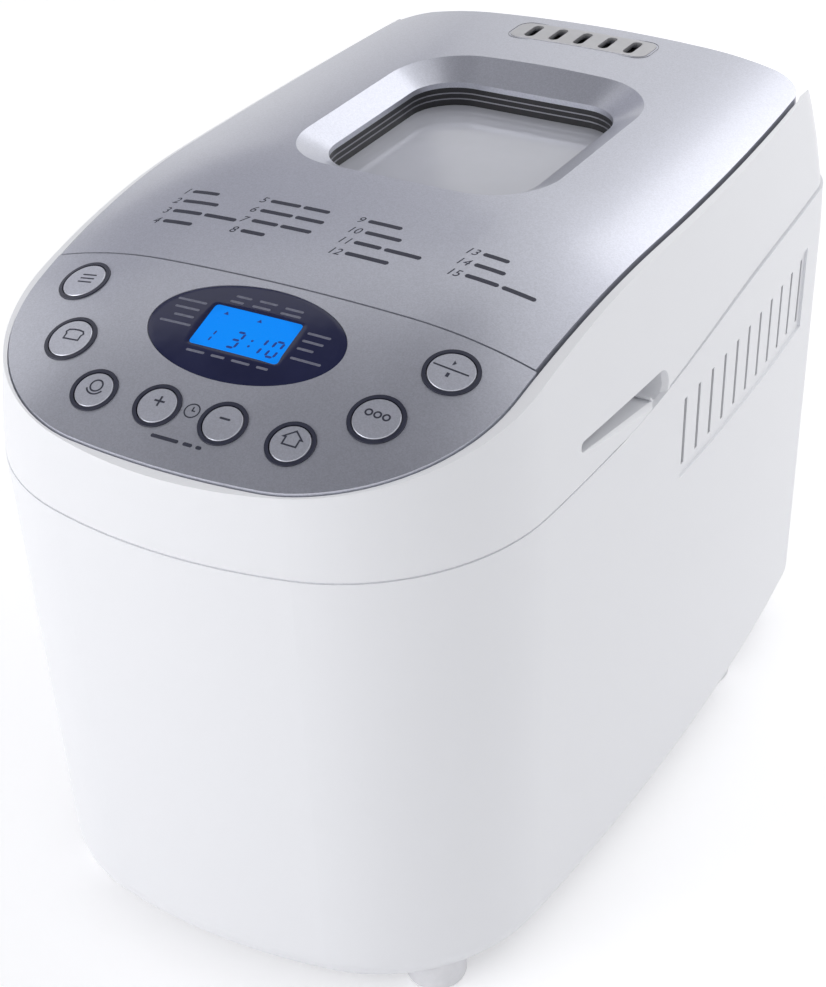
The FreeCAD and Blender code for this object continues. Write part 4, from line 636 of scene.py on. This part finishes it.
    def backlit(self, colour, place):
        """Lit screen: bright even ground, a shade deeper at the rim, with the faint grid of the cells."""
        material = finish("glass_backlit", shade(colour, 0.08), 0.3, mottle=0.02, patch=20, grain=2,
                          depth=0.001, IOR=1.15)
        tree = material.node_tree
        shader = tree.nodes["Principled BSDF"]
        coordinate = next(n for n in tree.nodes if n.type == "TEX_COORD").outputs["Object"]
        local = node(tree, "ShaderNodeVectorMath", {"operation": "SUBTRACT", 1: place.translation},
                     {0: coordinate}).outputs["Vector"]
        ball = node(tree, "ShaderNodeMapping", {"Scale": (1 / (26 * MM), 1 / (15 * MM), 1 / (26 * MM))},
                    {"Vector": local}).outputs["Vector"]
        reach = node(tree, "ShaderNodeVectorMath", {"operation": "LENGTH"}, {0: ball}).outputs["Value"]
        light = node(tree, "ShaderNodeValToRGB", {"stops": [(0.0, shade(colour, 1.04)), (0.75, colour[:3]),
                                                            (1.0, shade(colour, 0.85))]}, {"Fac": reach})
        cells = node(tree, "ShaderNodeTexBrick", {"Scale": per(1), "offset": 0.0, "Mortar Size": 0.03,
                                                  "Brick Width": 0.5, "Row Height": 0.5,
                                                  "Color1": (1, 1, 1, 1), "Color2": (0.99, 0.99, 0.99, 1),
                                                  "Mortar": (0.93, 0.93, 0.93, 1)}, {"Vector": local})
        lit = node(tree, "ShaderNodeVectorMath", {"operation": "MULTIPLY"},
                   {0: light.outputs["Color"], 1: cells.outputs["Color"]}).outputs["Vector"]
        tree.links.new(lit, shader.inputs["Emission Color"])
        shader.inputs["Emission Strength"].default_value = 0.9
        return material


# ---------------------------------------------------------------- lid

class BREADMACHINE_OT_lid(Operator):
    """Lid: programme numbers, vent, window, liner and gasket"""
    bl_idname = "bread_machine.lid"
    bl_label = "Lid"

    # Of each column its left edge, the place of its first row along Y and the lengths of its bars, in
    # millimetres. A row may hold two bars.
    columns = (
        (-76.0, -56.0, ((13, ), (17, ), (14, 15), (14, ))),
        (-40.0, -54.5, ((14, 12), (15, 13), (12, 14), (11, ))),
        (5.0, -54.5, ((15, ), (16, ), (12, 16), (19, ))),
        (54.0, -56.7, ((11, ), (13, ), (14, 14))),
    )

    # Depth of the plate of painted shade under the vent, corner and width of the line of painted shadow round
    # it, and width of a line of painted highlight in the window.
    baffle_gap = 2.5 * MM
    vent_corner = 5.6 * MM
    seal = 1.2 * MM
    bead = 0.5 * MM

    def beads(self, material, around=96):
        """Two fine pale lines of painted highlight round the dark wall of the window, a third and two thirds
        of the way down.
        """
        walls = surface("window_frame")
        low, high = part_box("window_frame")
        middle = (low + high) / 2
        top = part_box("window_outer")[1].z
        vertices, faces = [], []
        for part in (0.3, 0.62):
            level, start = high.z + (top - high.z) * part, len(vertices)
            for i in range(around):
                way = Vector((math.cos(math.tau * i / around), math.sin(math.tau * i / around), 0))
                wall = walls.ray_cast(Vector((middle.x, middle.y, level)), way)[0]
                for out, up in ((-1, -0.5), (1, -0.5), (1, 0.5), (-1, 0.5)):
                    vertices.append(wall + way * out * self.bead / 2 + Vector((0, 0, up * self.bead)))
            for i in range(around):
                a, b = start + 4 * i, start + 4 * ((i + 1) % around)
                faces += [[a + k, b + k, b + (k + 1) % 4, a + (k + 1) % 4] for k in range(4)]
        sealed("window_highlight_lines", vertices, faces, "lid", material)

    def execute(self, context):
        colours, marks = settings(context)[:2]
        ink = bpy.data.materials["ink_pad_printed"]
        tree = surface("lid_cover")
        flats, number = [], 0
        for left, front, rows in self.columns:
            for row, bars in enumerate(rows):
                number += 1
                if number > marks.programmes:
                    break
                place = seat(tree, left * MM, front * MM - row * marks.row)
                text = flat_text(str(number), marks.figure, 0.25)
                flats.append((tree, place, text))
                x = max(p[0] for p in text[0]) + 1.6 * MM
                for wide in bars:
                    flats.append((tree, place, flat_bar(x, 0, wide * MM, marks.bar, max(2, int(wide / 3)))))
                    x += (wide + 1.4) * MM
        inked("programme_numbers", flats, "lid", ink, marks.proud)
        # Cast zinc look on ABS, bead-blasted: warm dull silver; the slots look dark from the painted shade
        # under them.
        dress(["vent_grille"], finish("alloy_blasted_grey", colours.grille, 0.42, mottle=0.06, patch=6,
                                      grain=0.4, depth=0.02, Metallic=0.6))
        # Painted shade: a flat black sheet under the slots keeps them dark, where only shade lies.
        shadow = finish("painted_shade_black", linear("0C0C0E"), 0.7, patch=5, depth=0.01)
        low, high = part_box("vent_grille")
        middle, half = (low + high) / 2, (high - low) / 2
        plate = seat(surface("vent_grille"), middle.x, high.y - 0.5 * MM)
        plate.col[3].xyz = Vector((middle.x, middle.y, low.z - self.baffle_gap))
        inked("vent_shade_plate", [(None, plate, flat_shape(rounded(half.x - 2 * MM, half.y - MM, 2 * MM)))],
              "lid", shadow, 0.6 * MM, 0.6 * MM)
        # Painted shadow: a thin dark grey line all round the vent, where the shadow gap between vent and lid
        # lies.
        seal = finish("painted_shadow_line", linear("33333A"), 0.5, patch=6, depth=0.01)
        outline = rounded(half.x + self.seal / 2, half.y + self.seal / 2, self.vent_corner)
        plate.col[3].xyz = middle
        inked("vent_shadow_line", [(tree, plate, flat_line(outline, self.seal, True))], "lid", seal, 0.15 * MM)
        # Glass-filled polyester, moulded: black with a fine even grain, it stands heat.
        dress(["window_frame"], finish("polyester_moulded_black", linear("222226"), 0.4, patch=12, grain=0.6,
                                       depth=0.02))
        # Painted highlight: pale satin metal in two fine lines on the dark wall, where its grooves catch the
        # light.
        self.beads(finish("painted_highlight_grey", linear("9A9AA2"), 0.35, patch=8, grain=0.3, depth=0.005,
                          Metallic=0.8))
        # Tempered float glass: clear, with a faint cool cast.
        dress(["window_inner"],
              finish("glass_float", linear("EEF3F6"), 0.03, mottle=0.01, patch=50, grain=20, depth=0.001,
                     spread=0.01, IOR=1.52, Transmission_Weight=1.0))
        # Tempered glass, acid-etched on its underside: milky, pale grey-blue.
        dress(["window_outer"],
              finish("glass_etched", colours.pane, 0.1, mottle=0.03, patch=40, grain=20, depth=0.001,
                     spread=0.02, IOR=1.5, Transmission_Weight=0.3))
        # Glass-filled polyester, moulded and grained: grey underside of the lid.
        dress(["lid_liner"], finish("polyester_grained_grey", linear("77787C"), 0.5, grain=0.7, depth=0.03))
        # Moulded silicone: soft grey with a dusty sheen.
        dress(["lid_gasket"], finish("silicone_moulded_grey", linear("8A8A8C"), 0.55, grain=0.5, depth=0.02,
                                     Sheen_Weight=0.3))
        # Ground steel: bright with fine lines round the pin.
        dress(["hinge_pins"], finish("steel_ground", linear("B9BABD"), 0.25, grain=0.3, depth=0.01,
                                     stretch=(0.05, 1, 1), Metallic=1.0))
        return {"FINISHED"}


# ---------------------------------------------------------------- oven and pan

class BREADMACHINE_OT_oven(Operator):
    """Oven: chamber, collar, heating element, sensor and pan socket"""
    bl_idname = "bread_machine.oven"
    bl_label = "Oven"

    def execute(self, context):
        # Aluminised steel sheet, rolled: pale grey with a soft draw along Z and cloudy patches.
        dress(["oven_chamber", "chamber_collar"],
              finish("steel_aluminised_rolled", linear("A3A5A6"), 0.36, mottle=0.12, patch=14, grain=0.5,
                     depth=0.012, stretch=(1, 1, 0.08), Metallic=1.0))
        # Nickel-alloy sheath, oxidised by heat: dark olive brown with blue patches.
        dress(["heating_element"],
              finish("alloy_oxidised", linear("3A3632"), 0.42, patch=9, grain=0.4, depth=0.015,
                     second=linear("4B4E58"), Metallic=0.85))
        # Stamped steel: bright, with faint cloudy patches.
        dress(["element_clips", "temperature_sensor", "chassis_posts"],
              finish("steel_stamped", linear("A8AAAD"), 0.32, mottle=0.06, patch=5, grain=0.4, depth=0.01,
                     Metallic=1.0))
        # Die-cast aluminium: pale, matt and slightly pitted.
        dress(["pan_socket", "pan_base", "pan_lugs"],
              finish("aluminium_die_cast", linear("AEB0B2"), 0.48, mottle=0.07, patch=6, grain=0.5,
                     depth=0.03, Metallic=1.0))
        return {"FINISHED"}


class BREADMACHINE_OT_pan(Operator):
    """Pan: coated pan and paddle, wire handle, shaft and bearing"""
    bl_idname = "bread_machine.pan"
    bl_label = "Pan"

    def execute(self, context):
        colours = settings(context)[0]
        # Aluminium sheet with a sprayed and baked non-stick coat: charcoal, speckled and satin.
        coat = finish("coating_baked_charcoal", colours.pan, 0.38, mottle=0.25, patch=1.1, grain=0.6,
                      depth=0.015, second=linear("4A4A4D"))
        dress(["bread_pan", "kneading_paddle"], coat)
        # Drawn steel wire, chromed: mirror-bright with faint draw lines.
        dress(["pan_handle"], finish("steel_wire_chromed", linear("D3D5D9"), 0.12, mottle=0.02, grain=0.4,
                                     depth=0.003, stretch=(0.1, 1, 1), Metallic=1.0))
        # Sintered bronze: brown-gold, porous.
        dress(["pan_bearing", "shaft_bearing"],
              finish("bronze_sintered", linear("A5804A"), 0.42, mottle=0.15, patch=1.5, grain=0.3, depth=0.02,
                     Metallic=1.0))
        # Turned steel: bright, with fine rings round the axis.
        dress(["pan_shaft", "drive_shaft", "motor_shaft", "drive_coupling"],
              finish("steel_turned", linear("B4B6B9"), 0.24, grain=0.3, depth=0.008, stretch=(1, 1, 6),
                     Metallic=1.0))
        return {"FINISHED"}


class BREADMACHINE_OT_drive(Operator):
    """Drive: pulleys, belt, motor and chassis"""
    bl_idname = "bread_machine.drive"
    bl_label = "Drive"

    def execute(self, context):
        # Moulded acetal: off-white, smooth and waxy.
        dress(["drive_pulley", "motor_pulley", "motor_fan"],
              finish("acetal_moulded", linear("D9D8D2"), 0.4, mottle=0.03, patch=12, depth=0.008))
        # Ribbed rubber belt: black and dusty, drawn along its run.
        dress(["drive_belt"], finish("rubber_belt_ribbed", linear("1A1A1B"), 0.65, mottle=0.2, patch=6,
                                     grain=1.6, depth=0.2, stretch=(0.02, 0.02, 1)))
        # Zinc-plated steel sheet: pale blue-grey with cloudy spangle.
        dress(["motor_housing", "chassis"],
              finish("steel_sheet_zinc_plated", linear("A9AEB4"), 0.34, mottle=0.12, patch=8, grain=0.5,
                     depth=0.01, Metallic=1.0))
        return {"FINISHED"}


# ---------------------------------------------------------------- studio

class BREADMACHINE_OT_studio(Operator):
    """Studio: pale floor, soft lamps, even background and camera"""
    bl_idname = "bread_machine.studio"
    bl_label = "Studio"

    def lamp(self, name, place, target, wide, high, power):
        data = bpy.data.lights.new(name, "AREA")
        data.shape, data.size, data.size_y, data.energy = "RECTANGLE", wide, high, power
        made = bpy.data.objects.new(name, data)
        made.location = place
        made.rotation_mode = "QUATERNION"
        made.rotation_quaternion = (Vector(target) - Vector(place)).to_track_quat("-Z", "Y")
        bpy.context.scene.collection.objects.link(made)

    def card(self, name, place, target, wide, high, material):
        """Grey board that the lacquer mirrors, out of the camera's sight."""
        mesh = bpy.data.meshes.new(name)
        corners = [(-wide / 2, -high / 2, 0), (wide / 2, -high / 2, 0), (wide / 2, high / 2, 0),
                   (-wide / 2, high / 2, 0)]
        mesh.from_pydata(corners, [], [[0, 1, 2, 3]])
        mesh.materials.append(material)
        made = bpy.data.objects.new(name, mesh)
        made.location = place
        made.rotation_mode = "QUATERNION"
        made.rotation_quaternion = (Vector(target) - Vector(place)).to_track_quat("Z", "Y")
        made.visible_camera = False
        bpy.context.scene.collection.objects.link(made)

    # Camera in metres: where it stands, what it looks at, and how it is turned about its own line of sight.
    stand = Vector((0.4420, -0.7364, 0.6607))
    target = Vector((0.0001, -0.0134, 0.1384))
    roll = math.radians(-2.218)

    def execute(self, context):
        colours, _marks, _display, studio = settings(context)
        scene = context.scene
        scene.view_settings.view_transform = "Standard"
        self.floor(scene, studio)
        self.backdrop(scene, studio)
        self.lamp("key", (0.55, 1.7, 1.35), (0, 0, 0.25), 1.7, 1.2, studio.key)
        self.lamp("fill", (-1.3, -1.7, 0.8), (0, 0, 0.15), 1.6, 1.2, studio.fill)
        # Painted boards: flat grey, out of sight, so that the lacquer runs from light to dark.
        dark = finish("board_painted_grey", colours.card, 0.9, patch=200, grain=3)
        pale = finish("board_painted_silver", shade(colours.card, 3.2), 0.9, patch=200, grain=3)
        self.card("ceiling_card", (-0.5, -0.5, 2.1), (-0.2, -0.2, 0.2), 2.6, 2.4, dark)
        self.card("rear_card", (-1.7, 1.5, 1.6), (0, 0, 0.25), 1.6, 1.3, pale)
        self.camera(scene, studio)
        return {"FINISHED"}

    def floor(self, scene, studio):
        mesh = bpy.data.meshes.new("floor")
        made = bmesh.new()
        bmesh.ops.create_grid(made, x_segments=24, y_segments=24, size=6)
        made.to_mesh(mesh)
        made.free()
        floor = bpy.data.objects.new("floor", mesh)
        scene.collection.objects.link(floor)
        mesh.materials.append(self.floor_material(studio))

    def backdrop(self, scene, studio):
        """White all round where it is seen, and dimmer as a light."""
        world = bpy.data.worlds.new("studio")
        scene.world = world
        world.use_nodes = True
        tree = world.node_tree
        background = tree.nodes["Background"]
        path = node(tree, "ShaderNodeLightPath")
        seen = self.seen(tree, path)
        level = node(tree, "ShaderNodeMapRange", {"To Min": studio.ambient, "To Max": 1.0}, {"Value": seen})
        tree.links.new(level.outputs["Result"], background.inputs["Strength"])
        background.inputs["Color"].default_value = (*linear("FFFFFF"), 1)

    def camera(self, scene, studio):
        """Camera on its stand, with its frame worked out from the line of sight and the roll."""
        camera = bpy.data.cameras.new("camera")
        camera.lens, camera.clip_start, camera.clip_end = studio.lens, 0.05, 50
        holder = bpy.data.objects.new("camera", camera)
        ahead = (self.target - self.stand).normalized()
        level = ahead.cross(Vector((0, 0, 1))).normalized()
        upright = level.cross(ahead)
        right = level * math.cos(self.roll) + upright * math.sin(self.roll)
        up = upright * math.cos(self.roll) - level * math.sin(self.roll)
        matrix = Matrix.Identity(4)
        for column, axis in enumerate((right, up, -ahead, self.stand)):
            matrix.col[column].xyz = axis
        holder.matrix_world = matrix
        scene.collection.objects.link(holder)
        scene.camera = holder

    def seen(self, tree, path):
        """1 for rays that come straight from the camera or by way of gloss or glass."""
        first = node(tree, "ShaderNodeMath", {"operation": "MAXIMUM"},
                     {0: path.outputs["Is Camera Ray"], 1: path.outputs["Is Glossy Ray"]})
        return node(tree, "ShaderNodeMath", {"operation": "MAXIMUM"},
                    {0: first.outputs[0], 1: path.outputs["Is Transmission Ray"]}).outputs[0]

    def floor_material(self, studio):
        """Painted board: matt, pale, with the faintest mottle; lifted towards white where it is seen."""
        material = finish("board_painted_pale", studio.floor, 0.7, mottle=0.01, patch=300, grain=4,
                          depth=0.01)
        tree = material.node_tree
        shader = tree.nodes["Principled BSDF"]
        shader.inputs["Emission Color"].default_value = (1, 1, 1, 1)
        path = node(tree, "ShaderNodeLightPath")
        lift = node(tree, "ShaderNodeMath", {"operation": "MULTIPLY", 1: 0.3}, {0: self.seen(tree, path)})
        tree.links.new(lift.outputs[0], shader.inputs["Emission Strength"])
        return material


class BREADMACHINE_PT_sidebar(Panel):
    """Lists the pieces and their settings"""
    bl_idname = "BREADMACHINE_PT_sidebar"
    bl_label = "Bread machine"
    bl_space_type = "VIEW_3D"
    bl_region_type = "UI"
    bl_category = "Bread machine"

    def draw(self, context):
        for group in settings(context):
            box = self.layout.box()
            for name in group.__annotations__:
                box.prop(group, name)
        for operator in OPERATORS:
            self.layout.operator(operator.bl_idname)


GROUPS = {"bread_machine_colours": BreadMachineColours, "bread_machine_marks": BreadMachineMarks,
          "bread_machine_display": BreadMachineDisplay, "bread_machine_studio": BreadMachineStudio}
OPERATORS = (BREADMACHINE_OT_case, BREADMACHINE_OT_panel, BREADMACHINE_OT_display, BREADMACHINE_OT_lid,
             BREADMACHINE_OT_oven, BREADMACHINE_OT_pan, BREADMACHINE_OT_drive, BREADMACHINE_OT_studio)


def register():
    for name, group in GROUPS.items():
        bpy.utils.register_class(group)
        setattr(bpy.types.Scene, name, PointerProperty(type=group))
    for kind in (*OPERATORS, BREADMACHINE_PT_sidebar):
        bpy.utils.register_class(kind)


def unregister():
    for kind in (BREADMACHINE_PT_sidebar, *reversed(OPERATORS)):
        bpy.utils.unregister_class(kind)
    for name, group in reversed(GROUPS.items()):
        delattr(bpy.types.Scene, name)
        bpy.utils.unregister_class(group)


def main():
    register()
    for operator in OPERATORS:
        group, name = operator.bl_idname.split(".")
        if getattr(getattr(bpy.ops, group), name)() != {"FINISHED"}:
            raise RuntimeError(operator.bl_label + " did not finish")
    bpy.context.view_layer.update()


if __name__ == "__main__":
    main()
